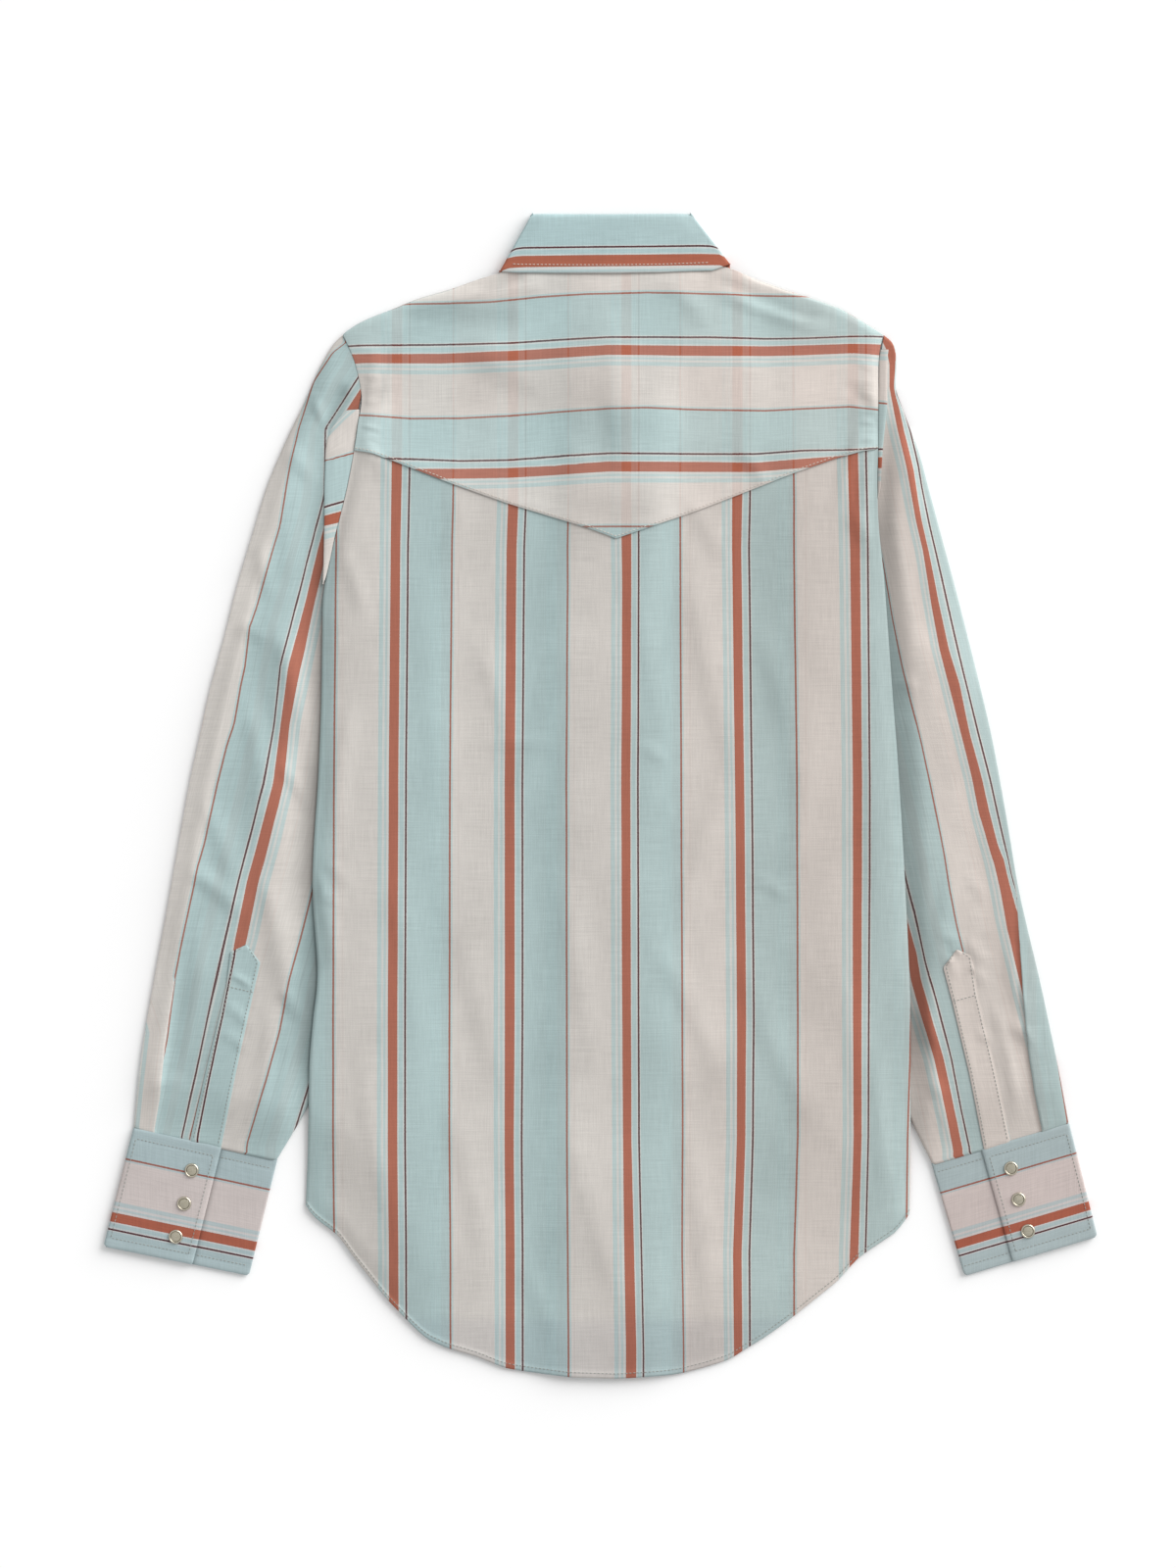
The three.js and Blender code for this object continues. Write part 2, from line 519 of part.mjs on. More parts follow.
function cuff(shape) {
  const path = cuffPath(shape);
  const station = (v) => {
    const corner = v === 1 ? cuffCorner : 0;
    const end = (k) => lerp(shape.top[k], shape.bottom[k], v);
    const width = Math.hypot(end(2) - end(0), end(3) - end(1));
    const inset = corner / width;
    return {
      ox: lerp(end(0), end(2), inset), oy: lerp(end(1), end(3), inset),
      ix: lerp(end(0), end(2), 1 - inset), iy: lerp(end(1), end(3), 1 - inset),
    };
  };
  const upper = cuffRowShares.map((v) =>
    path.map((part) => stationPoint(station(v), part.share, part.out, part.zo)));
  const lower = cuffRowShares.map((v) =>
    path.map((part) => stationPoint(station(v), part.share, part.inn, part.zi)));
  return slab(upper, lower);
}

// Collar leaf stations from the centre front to the side fold, fold line end and outer edge end
const leafStations = [
  { foldX: 7.9, foldY: 327.5, edgeX: -28.5, edgeY: 252.6 },
  { foldX: -8.9, foldY: 341.5, edgeX: -47.4, edgeY: 278.5 },
  { foldX: -29.9, foldY: 369.5, edgeX: -61.4, edgeY: 313.5 },
  { foldX: -43.9, foldY: 397.5, edgeX: -69.8, edgeY: 348.5 },
];
const collarSide = {
  left: { foldX: -48.8, foldY: 415.7, edgeX: -71.9, edgeY: 374.6 },
  right: { foldX: 64.6, foldY: 415.7, edgeX: 92.6, edgeY: 379.6 },
};
const fallStations = [
  { foldX: -40.0, foldY: 415.8, edgeX: -60.0, edgeY: 373.7 },
  { foldX: -18.0, foldY: 415.6, edgeX: -24.0, edgeY: 373.3 },
  { foldX: 8.0, foldY: 415.6, edgeX: 11.4, edgeY: 373.3 },
  { foldX: 34.0, foldY: 415.8, edgeX: 46.0, edgeY: 373.8 },
  { foldX: 56.0, foldY: 415.9, edgeX: 80.0, edgeY: 375.1 },
];
const neckCentre = 11.4;
const collarTop = 6.2;
const collarShares = [
  { up: 0, low: 0.03, drop: 1.2, dropLow: 1.0 }, { up: 0.022, low: 0.045, drop: 0, dropLow: 0 },
  { up: 0.5, low: 0.5, drop: 0, dropLow: 0 }, { up: 1, low: 1, drop: 0, dropLow: 0 },
];

function mirroredLeaf(station) {
  return {
    foldX: 2 * neckCentre - station.foldX, foldY: station.foldY,
    edgeX: 2 * neckCentre - station.edgeX, edgeY: station.edgeY,
  };
}

// Side fold of a flattened ring: shift inward and heights of both faces, bottom to top
function sideFold(station, inward, floor, ceiling, depth) {
  return [
    { ...station, out: 0.9 * inward, inn: (depth + 0.4) * inward, zo: floor, zi: floor + wall, lip: 0 },
    { ...station, out: 0, inn: depth * inward, zo: floor + 0.7, zi: floor + wall + 0.1, lip: 0 },
    { ...station, out: 0, inn: depth * inward, zo: ceiling - 0.7, zi: ceiling - wall - 0.1, lip: 0 },
    { ...station, out: 0.9 * inward, inn: (depth + 0.4) * inward, zo: ceiling, zi: ceiling - wall, lip: 0 },
  ];
}

function ribbon(path, shares) {
  const at = (part, share, shift, z) => [
    lerp(part.foldX, part.edgeX, share) + shift, lerp(part.foldY, part.edgeY, share), z,
  ];
  const upper = shares.map((row) =>
    path.map((part) => at(part, part.lip ? row.up : row.plain ?? row.up, part.out, part.zo - part.lip * row.drop)));
  const lower = shares.map((row) =>
    path.map((part) => at(part, part.lip ? row.low : row.plain ?? row.up, part.inn, part.zi - part.lip * row.dropLow)));
  return slab(upper, lower);
}

function flat(station, zo, zi, lip = 0) {
  return { ...station, out: 0, inn: 0, zo, zi, lip };
}

function collar() {
  const path = [
    ...leafStations.map((station) => flat(station, 0, wall)),
    ...sideFold(collarSide.left, 1, 0, collarTop, 1.2),
    ...fallStations.map((station) => flat(station, collarTop, collarTop - wall, 1)),
    ...sideFold(collarSide.right, -1, 0, collarTop, 1.2).reverse(),
    ...leafStations.map(mirroredLeaf).reverse().map((station) => flat(station, 0, wall)),
  ];
  return ribbon(path, collarShares);
}

// Upper edge of the stand at the front, above each column of the neckline
const standFront = [
  { across: 0.5, x: 10.9, y: 325.0 }, { across: 0.457, x: -3.0, y: 329.0 }, { across: 0.44, x: -9.0, y: 334.0 },
  { across: 0.4, x: -22.0, y: 352.0 }, { across: 0.36, x: -33.0, y: 375.0 },
];
const standSideLeft = { foldX: -45.5, foldY: 412.0, edgeX: -57.5, edgeY: 380.4 };
const standSideRight = { foldX: 61.0, foldY: 412.0, edgeX: 75.0, edgeY: 380.4 };
const standBack = [
  { foldX: -36.0, foldY: 412.2, edgeX: -45.0, edgeY: 380.4 }, { foldX: 8.0, foldY: 412.2, edgeX: 11.0, edgeY: 380.6 },
  { foldX: 54.0, foldY: 412.2, edgeX: 64.0, edgeY: 380.6 },
];
const standShares = [
  { up: 0, low: 0, drop: 0, dropLow: 0 }, { up: 0.5, low: 0.5, drop: 0, dropLow: 0 },
  { up: 1, low: 1, drop: 0, dropLow: 0 },
];
const standEnd = 0.5;

function standHalf(inward) {
  return standFront.map((part) => {
    const share = inward > 0 ? part.across : 1 - part.across;
    const c = columns.findIndex((value) => Math.abs(value - share) < 1e-6);
    const seam = frontPoint(0, c);
    const shift = part.across === 0.5 ? -standEnd * inward : 0.5 * inward;
    const foldX = inward > 0 ? part.x : 2 * neckCentre - part.x;
    return flat({
      foldX: part.across === 0.5 ? neckCentre - standEnd * inward : foldX, foldY: part.y,
      edgeX: (part.across === 0.5 ? neckCentre : seam.x) + shift, edgeY: seam.y + 0.9,
    }, layer, layer + wall);
  });
}

function collarStand() {
  const ceiling = 2 * layer + wall;
  const path = [
    ...standHalf(1),
    ...sideFold(standSideLeft, 1, layer, ceiling, 1.1),
    ...standBack.map((station) => flat(station, ceiling, ceiling - wall)),
    ...sideFold(standSideRight, -1, layer, ceiling, 1.1).reverse(),
    ...standHalf(-1).reverse(),
  ];
  return ribbon(path, standShares);
}

// Pearl snap: a metal ring and a domed cap inside it, as radius and height
const ringProfile = [
  [3.7, 0], [5.1, 0], [5.1, 0.6], [4.8, 1.15], [4.2, 1.4], [3.7, 1.1], [3.7, 0],
];
const pearlProfile = [[0, 0], [3.6, 0], [3.6, 0.95], [2.5, 1.35], [0, 1.55]];
const snapSegments = 16;
const snapClear = 0.1;
const frontSnapFlat = 0.84;

function snapPiece(profile, height) {
  const points = profile.map(([radius, z]) => new THREE.Vector2(radius, z * height));
  const turned = new THREE.LatheGeometry(points, snapSegments);
  turned.rotateX(Math.PI / 2);
  const merged = welded(turned);
  return merged;
}

// Lathe output with its doubled seam and pole points put together
function welded(geometry) {
  const source = geometry.attributes.position;
  const keys = new Map();
  const positions = [];
  const map = [];
  for (let k = 0; k < source.count; k += 1) {
    const point = [source.getX(k), source.getY(k), source.getZ(k)];
    const key = point.map((value) => Math.round(value * 1e4)).join(",").replaceAll("-0", "0");
    if (!keys.has(key)) {
      keys.set(key, positions.length / 3);
      positions.push(...point);
    }
    map.push(keys.get(key));
  }
  const indices = [];
  for (let k = 0; k < geometry.index.count; k += 3) {
    const a = map[geometry.index.getX(k)];
    const b = map[geometry.index.getX(k + 1)];
    const c = map[geometry.index.getX(k + 2)];
    if (a !== b && b !== c && c !== a) indices.push(a, b, c);
  }
  return facingOut(positions, indices);
}

const cuffSnapsLeft = [{ x: -291.7, y: -266.8 }, { x: -297.1, y: -290.5 }, { x: -303.2, y: -314.1 }];
const cuffSnapsRight = [{ x: 293.0, y: -265.4 }, { x: 298.4, y: -287.6 }, { x: 305.1, y: -310.2 }];
const frontSnapHeights = [236, 148, 60, -28, -116, -204, -292];

function centreRise(y) {
  let r = 1;
  const line = rows.map((row, k) => frontPoint(k, centreColumn));
  while (r < hemRow && line[r].y > y) r += 1;
  const t = (y - line[r - 1].y) / (line[r].y - line[r - 1].y);
  return {
    x: lerp(line[r - 1].x, line[r].x, t),
    z: lerp(rise(r - 1, centreColumn), rise(r, centreColumn), t),
  };
}

// Colours of the parts
const clothColour = "#a9bdbb";
const yokeColour = "#b3c2bf";
const trimColour = "#b9c6c3";
const ringColour = "#a59a80";
const pearlColour = "#d9d0b4";

// Middle of the laid-out shirt, moved to the frame's origin
const middle = { x: 0.03, y: 0.255 };

const shirt = new THREE.Group();
shirt.name = "western_snap_shirt";

function add(name, geometry, colour, metalness = 0) {
  const material = new THREE.MeshStandardMaterial({ color: colour, roughness: metalness ? 0.35 : 0.9, metalness });
  geometry.translate(-middle.x, -middle.y, 0);
  const mesh = new THREE.Mesh(geometry, material);
  mesh.name = name;
  shirt.add(mesh);
}

function addSnap(name, x, y, z, height) {
  const ring = snapPiece(ringProfile, height);
  const pearl = snapPiece(pearlProfile, height);
  for (const piece of [ring, pearl]) piece.translate(x, y, z);
  add(`${name}_ring`, ring, ringColour, 1);
  add(`${name}_pearl`, pearl, pearlColour);
}

add("back_panel", backPanel(), clothColour);
add("back_yoke", backYoke(), yokeColour);
add("front_left", front(0, frontEdgeLeft, {}), clothColour);
add("front_right", front(frontEdgeLeft, lastColumn, { over: closureRise }), clothColour);
add("front_placket", front(frontEdgeLeft, frontEdgeRight, { shiftFirst: gap }), trimColour);
add("collar", collar(), trimColour);
add("collar_stand", collarStand(), trimColour);
add("sleeve_left", sleeve("left", sleeveLeft, flapLeft), clothColour);
add("sleeve_right", sleeve("right", sleeveRight, flapRight), clothColour);
add("sleeve_placket_left", sleevePlacket(placketLeft), trimColour);
add("sleeve_placket_right", sleevePlacket(placketRight), trimColour);
add("cuff_left", cuff(cuffLeft), trimColour);
add("cuff_right", cuff(cuffRight), trimColour);

const cuffTop = 3 * cuffWall + 2 * gap;
cuffSnapsLeft.forEach((spot, k) => addSnap(`snap_cuff_left_${k + 1}`, spot.x, spot.y, cuffTop + snapClear, 1));
cuffSnapsRight.forEach((spot, k) => addSnap(`snap_cuff_right_${k + 1}`, spot.x, spot.y, cuffTop + snapClear, 1));
frontSnapHeights.forEach((y, k) => {
  const place = centreRise(y);
  addSnap(`snap_front_${k + 1}`, place.x, y, place.z - snapClear, -frontSnapFlat);
});

export default shirt;
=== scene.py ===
# %% [markdown]
# # A western snap shirt, laid out on its front
#
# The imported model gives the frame: every piece below is in metres, where the pattern pieces lie.
# The shirt is shown from the back, so the big pieces are the back panel, the pointed yoke over it,
# the two sleeves with their pointed plackets, the cuffs and the fall of the collar.

import bpy
import numpy as np
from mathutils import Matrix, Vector


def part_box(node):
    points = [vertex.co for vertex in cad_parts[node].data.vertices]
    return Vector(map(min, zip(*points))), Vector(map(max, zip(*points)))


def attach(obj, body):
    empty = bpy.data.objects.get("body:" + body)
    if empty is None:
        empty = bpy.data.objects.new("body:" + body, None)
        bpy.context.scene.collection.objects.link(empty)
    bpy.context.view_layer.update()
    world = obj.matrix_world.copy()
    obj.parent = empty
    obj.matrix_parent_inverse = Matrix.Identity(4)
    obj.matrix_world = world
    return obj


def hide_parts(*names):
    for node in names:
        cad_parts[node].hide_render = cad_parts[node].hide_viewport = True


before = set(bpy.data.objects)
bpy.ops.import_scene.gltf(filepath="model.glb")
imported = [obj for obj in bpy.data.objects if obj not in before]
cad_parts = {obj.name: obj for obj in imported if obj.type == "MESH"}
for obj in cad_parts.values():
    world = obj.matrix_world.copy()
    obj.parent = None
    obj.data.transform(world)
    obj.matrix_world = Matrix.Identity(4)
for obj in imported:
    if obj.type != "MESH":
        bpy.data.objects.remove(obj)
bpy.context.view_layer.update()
MM = 0.001

# %% [markdown]
# ## Soft steps and smooth lines
#
# Cloth has no hard corners, so heights rise along half a cosine wave, and outlines run as smooth
# curves through a few measured points. Everything works on whole numpy arrays.


# %% Steps, humps and lines
PICTURE_POINT = 0.7
PICTURE_ORIGIN = (-428.92, 568.705)


def ease(value, start, end):
    """0 before start and 1 after end, with half a cosine wave between them."""
    share = np.clip((value - start) / (end - start), 0, 1)
    return (1 - np.cos(np.pi * share)) / 2


def hump(value, start, full, full_end, end):
    """Rises from start to full and falls again from full_end to end."""
    return ease(value, start, full) - ease(value, full_end, end)


def bell(distance, width):
    """1 on a line and less beside it: e to the power of minus the square of distance over width."""
    return np.exp(-(distance / width) ** 2)


def lerp(a, b, share):
    """The straight mix of a and b."""
    return a + (b - a) * share


def through(values, at):
    """A smooth line through the values: a cubic between two of them, whose slope at each one is half
    the step between its neighbours."""
    values = np.asarray(values, float)
    first = np.clip(np.floor(at).astype(int), 0, len(values) - 2)
    t = at - first
    before, a, b, after = (values[np.clip(first + k, 0, len(values) - 1)] for k in (-1, 0, 1, 2))
    slope_a, slope_b, step = (b - before) / 2, (after - a) / 2, b - a
    return a + t * (slope_a + t * (3 * step - 2 * slope_a - slope_b + t * (slope_a + slope_b - 2 * step)))


def from_picture(points):
    """Points read off the 1200 x 1600 picture, as millimetres in the frame: 0.7 mm to a picture point,
    with the origin in the middle of the shirt and y upwards."""
    points = PICTURE_POINT * np.asarray(points, float)
    return np.stack([points[:, 0] + PICTURE_ORIGIN[0], PICTURE_ORIGIN[1] - points[:, 1]], 1)


# %% [markdown]
# ## The body's outline
#
# The body is a grid of rows, from the shoulders to the hem, and shares of the width. Each row has
# two side points and says how much it follows the shoulder line, the point of the yoke and the
# shirt-tail hem. The last four numbers say what lies under the row and lifts it: the two sleeves,
# the collar leaves and the front placket. The part's origin is the middle of its outline.

# %% The rows
MIDDLE = (0.03, 0.255)
SHOULDERS, YOKE_POINT, HEM, LEFT_SLEEVE, RIGHT_SLEEVE, LEAVES, PLACKET = range(4, 11)
ROWS = np.array([
    # left x and y, right x and y, shoulders, yoke point, hem, left sleeve, right sleeve, leaves, placket
    (-183.9, 329.6, 201.8, 329.6, 1.0, 0.0, 0.0, 0.0, 0.0, 1, 0.0),
    (-175.5, 310.0, 198.7, 312.8, 0.7, 0.28, 0.0, 0.0, 0.5, 1, 0.2),
    (-170.6, 285.5, 198.3, 285.5, 0.4, 0.55, 0.0, 0.0, 1.0, 1, 1.0),
    (-173.0, 266.6, 198.0, 266.6, 0.15, 0.8, 0.0, 0.55, 1.0, 1, 1.0),
    (-175.8, 247.0, 198.0, 247.7, 0.0, 1.0, 0.0, 1.0, 1.0, 0, 1.0),
    (-181.1, 219.0, 197.6, 221.1, 0.0, 0.8, 0.0, 1.0, 1.0, 0, 1.0),
    (-188.8, 187.5, 198.7, 191.7, 0.0, 0.5, 0.0, 1.0, 1.0, 0, 1.0),
    (-197.2, 149.0, 202.5, 156.0, 0.0, 0.25, 0.0, 1.0, 1.0, 0, 1.0),
    (-198.6, 114.0, 205.3, 118.9, 0.0, 0.1, 0.0, 1.0, 1.0, 0, 1.0),
    (-199.3, 68.5, 208.8, 70.6, 0.0, 0.0, 0.0, 1.0, 1.0, 0, 1.0),
    (-201.4, 16.0, 212.7, 19.5, 0.0, 0.0, 0.0, 1.0, 1.0, 0, 1.0),
    (-205.6, -60.3, 217.2, -56.1, 0.0, 0.0, 0.04, 1.0, 1.0, 0, 1.0),
    (-202.1, -124.7, 220.7, -131.0, 0.0, 0.0, 0.14, 1.0, 1.0, 0, 1.0),
    (-205.2, -159.0, 221.4, -166.7, 0.0, 0.0, 0.25, 1.0, 1.0, 0, 1.0),
    (-207.7, -189.1, 221.4, -201.0, 0.0, 0.0, 0.4, 1.0, 1.0, 0, 1.0),
    (-208.4, -224.1, 221.4, -240.9, 0.0, 0.0, 0.58, 1.0, 1.0, 0, 1.0),
    (-209.1, -258.4, 221.4, -269.6, 0.0, 0.0, 0.8, 0.5, 0.5, 0, 1.0),
    (-210.5, -292.0, 220.7, -298.3, 0.0, 0.0, 1.0, 0.0, 0.0, 0, 1.0),
])
ROW_NUMBERS = np.arange(len(ROWS))
TOP_CURVE = np.array([
    (-183.9, 329.6), (-179.0, 334.5), (-166.4, 341.5), (-147.5, 348.5), (-131.4, 355.5),
    (-106.9, 362.5), (-88.7, 368.8), (-71.9, 373.7), (-57.9, 379.3), (11.4, 380.0), (76.5, 380.0),
    (93.3, 377.2), (103.1, 372.3), (117.1, 367.4), (134.6, 361.1), (152.8, 355.5), (171.7, 348.5),
    (187.1, 339.4), (201.8, 329.6),
])
VEE_CURVE = np.array([
    (-175.8, 247.0), (-163.6, 244.9), (-149.6, 240.0), (-137.0, 235.1), (-106.2, 223.2), (-66.3, 209.2),
    (-22.9, 195.9), (-5.4, 190.3), (11.1, 184.0), (33.8, 191.7), (70.2, 204.3), (104.5, 217.6),
    (136.7, 230.2), (166.8, 240.7), (187.1, 246.3), (198.0, 247.7),
])
HEM_CURVE = np.array([
    (-210.5, -292.0), (-204.9, -300.4), (-186.7, -313.7), (-176.9, -328.4), (-162.9, -345.9),
    (-152.4, -359.2), (-134.9, -377.4), (-124.4, -387.2), (-109.0, -394.2), (-89.4, -399.8),
    (-68.4, -408.2), (-50.9, -411.0), (-21.5, -414.5), (11.4, -415.6), (40.1, -413.8), (55.5, -412.4),
    (75.1, -407.5), (92.6, -401.9), (103.1, -394.9), (117.1, -386.5), (134.6, -373.9), (152.1, -359.9),
    (169.6, -345.9), (183.6, -329.8), (197.6, -320.0), (211.6, -310.9), (220.7, -298.3),
])
VEE_ROW, SIDE_SEAM_ROW, HEM_ROW = 4, 7, 17
print("rows:", len(ROWS), "yoke point at", VEE_CURVE[8])


# %% [markdown]
# ## Points and heights of the body
#
# A point of the cloth lies on the straight line between the sides of its row, plus its part of the
# bulges of the three curves. The panels are stacked by adding layers: a layer is a 1 mm wall and a
# gap of 0.3 mm, and what lies under the body lifts it in soft steps.

# %% Points of the body
def curve_height(curve, x, soft):
    """Height of a curve over x, averaged over a few millimetres each side, which rounds its corners."""
    reach = np.clip(np.minimum(x - curve[0, 0], curve[-1, 0] - x), 0, soft)
    taps = np.linspace(-1, 1, 5)
    return np.mean([np.interp(x + reach * tap, curve[:, 0], curve[:, 1]) for tap in taps], axis=0)


def row_value(column, t):
    """A column of the rows at row number t, straight between two rows."""
    return np.interp(t, ROW_NUMBERS, ROWS[:, column])


def body_xy(share, t):
    """A point of row t at a share of the width: the straight line between the row's side points, plus
    its part of the bulge of the shoulder, yoke and hem curves over their own straight lines."""
    left_x, left_y, right_x, right_y = (through(ROWS[:, k], t) for k in range(4))
    x, y = lerp(left_x, right_x, share), lerp(left_y, right_y, share)
    bulges = (
        (TOP_CURVE, 0, SHOULDERS, 5),
        (VEE_CURVE, VEE_ROW, YOKE_POINT, 0),
        (HEM_CURVE, HEM_ROW, HEM, 3.5),
    )
    for curve, row, weight, soft in bulges:
        flat_x = lerp(ROWS[row, 0], ROWS[row, 2], share)
        flat_y = lerp(ROWS[row, 1], ROWS[row, 3], share)
        y = y + row_value(weight, t) * (curve_height(curve, flat_x, soft) - flat_y)
    return x - MIDDLE[0], y - MIDDLE[1]


WALL, GAP = 1.0, 0.3
LAYER = WALL + GAP
SLEEVE_TOP = 2 * WALL + GAP
ON_TABLE = 0.03
SNAP_DEPTH = 1.5


def over_placket(share):
    """1 over the front placket, in the middle of the width, and soft beside it."""
    return hump(share, 0.36, 0.44, 0.56, 0.64)


def rise(share, t):
    """How far the lowest body layer is lifted: by two sleeve layers at the sides, a collar leaf beside
    the neck and the snaps of the placket down the middle."""
    left = row_value(LEFT_SLEEVE, t) * (1 - ease(share, 0.11, 0.27))
    right = row_value(RIGHT_SLEEVE, t) * ease(share, 0.73, 0.89)
    leaves = LAYER * row_value(LEAVES, t) * hump(share, 0.19, 0.27, 0.73, 0.81)
    return 2 * LAYER * (left + right) + leaves + SNAP_DEPTH * row_value(PLACKET, t) * over_placket(share)


def overlap_rise(share, t):
    """The layer that the closed front adds in the middle."""
    return LAYER * row_value(PLACKET, t) * over_placket(share)


def even_rows(start, end, step):
    """Row numbers from start to end that lie about one step of millimetres apart down the back."""
    t = np.linspace(start, end, 800)
    y = body_xy(np.full_like(t, 0.3), t)[1]
    run = np.concatenate([[0], np.cumsum(np.abs(np.diff(y)))])
    return np.interp(np.linspace(0, run[-1], int(run[-1] / step) + 1), run, t)


def edged(width, step, border=(0.5, 1.2, 2.2, 3.6, 6.0)):
    """Shares of a width, a step of millimetres apart, with closer ones beside both edges."""
    near = np.array([0, *border]) / width
    inner = np.linspace(near[-1], 1 - near[-1], int(width / step) + 1)[1:-1]
    return np.concatenate([near, inner, 1 - near[::-1]])


corner = body_xy(np.array(0.0), np.array(float(HEM_ROW)))
print("body corner at the left hem:", [round(float(v), 1) for v in corner])

# %% [markdown]
# ## Creases
#
# A shirt that was folded and then smoothed out by hand keeps a few soft, uneven creases. A cloth
# simulation would place them by chance, so each one is given instead: a low bell-shaped
# ridge along a line, steeper on one side, that fades out at both ends.


# %% Ridges and the lay of the body
BODY_WIDTH, HEM_WIDTH, YOKE_WIDTH = 400, 410, 385
WAVE_HEIGHT = 2.6


def beside_line(x, y, x0, y0, x1, y1):
    """How far points lie along a line from (x0, y0) to (x1, y1), how far to its left, and its length:
    the products of the way from its start with the line's direction and with the one square to it."""
    length = np.hypot(x1 - x0, y1 - y0)
    ux, uy = (x1 - x0) / length, (y1 - y0) / length
    return (x - x0) * ux + (y - y0) * uy, (y - y0) * ux - (x - x0) * uy, length


def ridges(x, y, table):
    """The sum of soft ridges. Each row gives a line from (x0, y0) to (x1, y1), the ridge's half width,
    its height and how far the line bows sideways. Its section is a bell, narrower on one flank."""
    height = np.zeros_like(x)
    for x0, y0, x1, y1, width, lift, bow in table:
        along, across, length = beside_line(x, y, x0, y0, x1, y1)
        along = along / length
        across = across - bow * (1 - (2 * along - 1) ** 2)
        flank = np.where(across > 0, 1.0, 1.7) * across / width
        height += lift * ease(along, -0.2, 0.25) * (1 - ease(along, 0.7, 1.2)) * np.exp(-flank ** 2)
    return height


def waves(x, y):
    """Slow uneven waves of the cloth: three crossing sines of different lengths, from 0 to about 1."""
    slow = np.sin(x / 31 + 0.9 * np.sin(y / 97)) + 0.8 * np.sin(y / 63 + 1.3 * np.sin(x / 71) + 1)
    return (slow + 0.6 * np.sin(x / 17 + y / 49 + 2)) / 4.8 + 0.5


BODY_CREASES = [
    # x0, y0, x1, y1, half width, height, bow
    (-56, 353, -142, 343, 7, -2.6, 0), (-112, 352, -44, 367, 6, 1.6, 0),
    (-84, 362, -54, 372, 4, -1.8, 0), (76, 371, 156, 342, 7, -3.0, -2), (84, 362, 150, 336, 7, 2.0, -2),
    (44, 366, 74, 340, 8, 1.2, 2), (-96, 322, -20, 262, 20, 2.6, 6), (-64, 301, 16, 250, 22, -2.2, -4),
    (10, 330, 14, 230, 14, 1.6, -2), (-160, 318, -172, 268, 4, 1.2, 2),
    (-150, 300, -166, 262, 7, 1.2, 2), (-168, 252, -150, 226, 4, 1.2, 1),
    (176, 292, 196, 268, 5, -1.6, 2), (186, 262, 170, 214, 5, 1.8, -2), (192, 236, 184, 196, 3, 1.4, 1),
    (176, 214, 190, 176, 5, 1.4, 2), (168, 206, 182, 190, 3, 1.2, 1), (176, 196, 186, 192, 2, 1.2, 0),
    (-186, 176, -170, 130, 6, 1.4, 2), (-178, 60, -190, -20, 8, 1.6, -2),
    (-206, -52, -197, -72, 3, 1.8, 1), (-203, -70, -186, -78, 2.5, 1.2, 1),
    (-204, -64, -192, -120, 7, 1.4, 3), (-200, -46, -180, -64, 4, 0.9, 2),
    (-86, 36, -30, 36, 4, 0.9, 2), (30, 33, 46, 25, 3, 1.4, 1), (110, -60, 131, -70, 3, 1.4, 1),
    (-86, 104, -64, 28, 10, 1.0, 3), (-40, 60, -66, -40, 12, 1.0, -4),
    (-128, 150, -120, -20, 13, 0.9, 4), (20, 150, 44, 40, 12, 0.9, 3), (66, 160, 96, 20, 12, 1.1, -4),
    (116, 110, 140, 0, 11, 1.1, 4), (150, 60, 134, -60, 12, 1.0, 4), (92, 20, 60, -90, 13, 1.0, -4),
    (188, 60, 196, -90, 8, 0.9, 2), (-150, -60, -130, -190, 13, 1.0, 4),
    (-100, -90, -70, -210, 12, 1.0, -3), (-30, -60, -4, -200, 13, 1.0, 3),
    (40, -110, 84, -200, 12, 1.2, 4), (104, -120, 150, -230, 13, 1.2, -4),
    (170, -120, 186, -250, 10, 1.0, 3), (-170, -180, -150, -300, 10, 1.0, -3),
    (-110, -220, -80, -340, 12, 1.0, 3), (-20, -240, 16, -360, 12, 1.0, -3),
    (60, -240, 76, -370, 11, 1.0, 3), (196, -190, 204, -280, 7, 1.6, -1),
    (-60, -330, -30, -395, 10, 0.8, 2), (100, 246, 116, 222, 6, 1.4, 2), (60, 214, 86, 170, 9, 0.9, 2),
    (-100, 212, -112, 170, 9, 0.8, 2),
]
# Short puckers along the left armhole seam, then along the right one.
PUCKERS = [(-171, y, -159, y - 2 + 3 * (k % 2), 1.7, 0.9, 0) for k, y in enumerate(range(318, 236, -9))]
PUCKERS += [(199, y, 186, y + 2 - 3 * (k % 2), 1.8, 1.0, 0) for k, y in enumerate(range(306, 160, -10))]
BODY_CREASES += PUCKERS


def body_lay(share, t, x, y):
    """What the creases and waves add to the top layers of the body, fading out towards its edges."""
    from_side = np.minimum(share, 1 - share) * BODY_WIDTH
    inside = ease(from_side, 1, 9) * ease(t, 0, 0.3) * (1 - ease(t, HEM_ROW - 0.6, HEM_ROW))
    return inside * np.maximum(ridges(x, y, BODY_CREASES) + WAVE_HEIGHT * waves(x, y), 0)


# %% [markdown]
# ## Tone along the folds
#
# Deep folds look darker, and thin cloth on a white table looks lighter, than these low creases show
# by themselves. A painter would glaze the cloth. Here a weak factor on its colour does the same: it
# lies along a few lines of each piece and is kept on the mesh, so it stays with the cloth in every
# view.

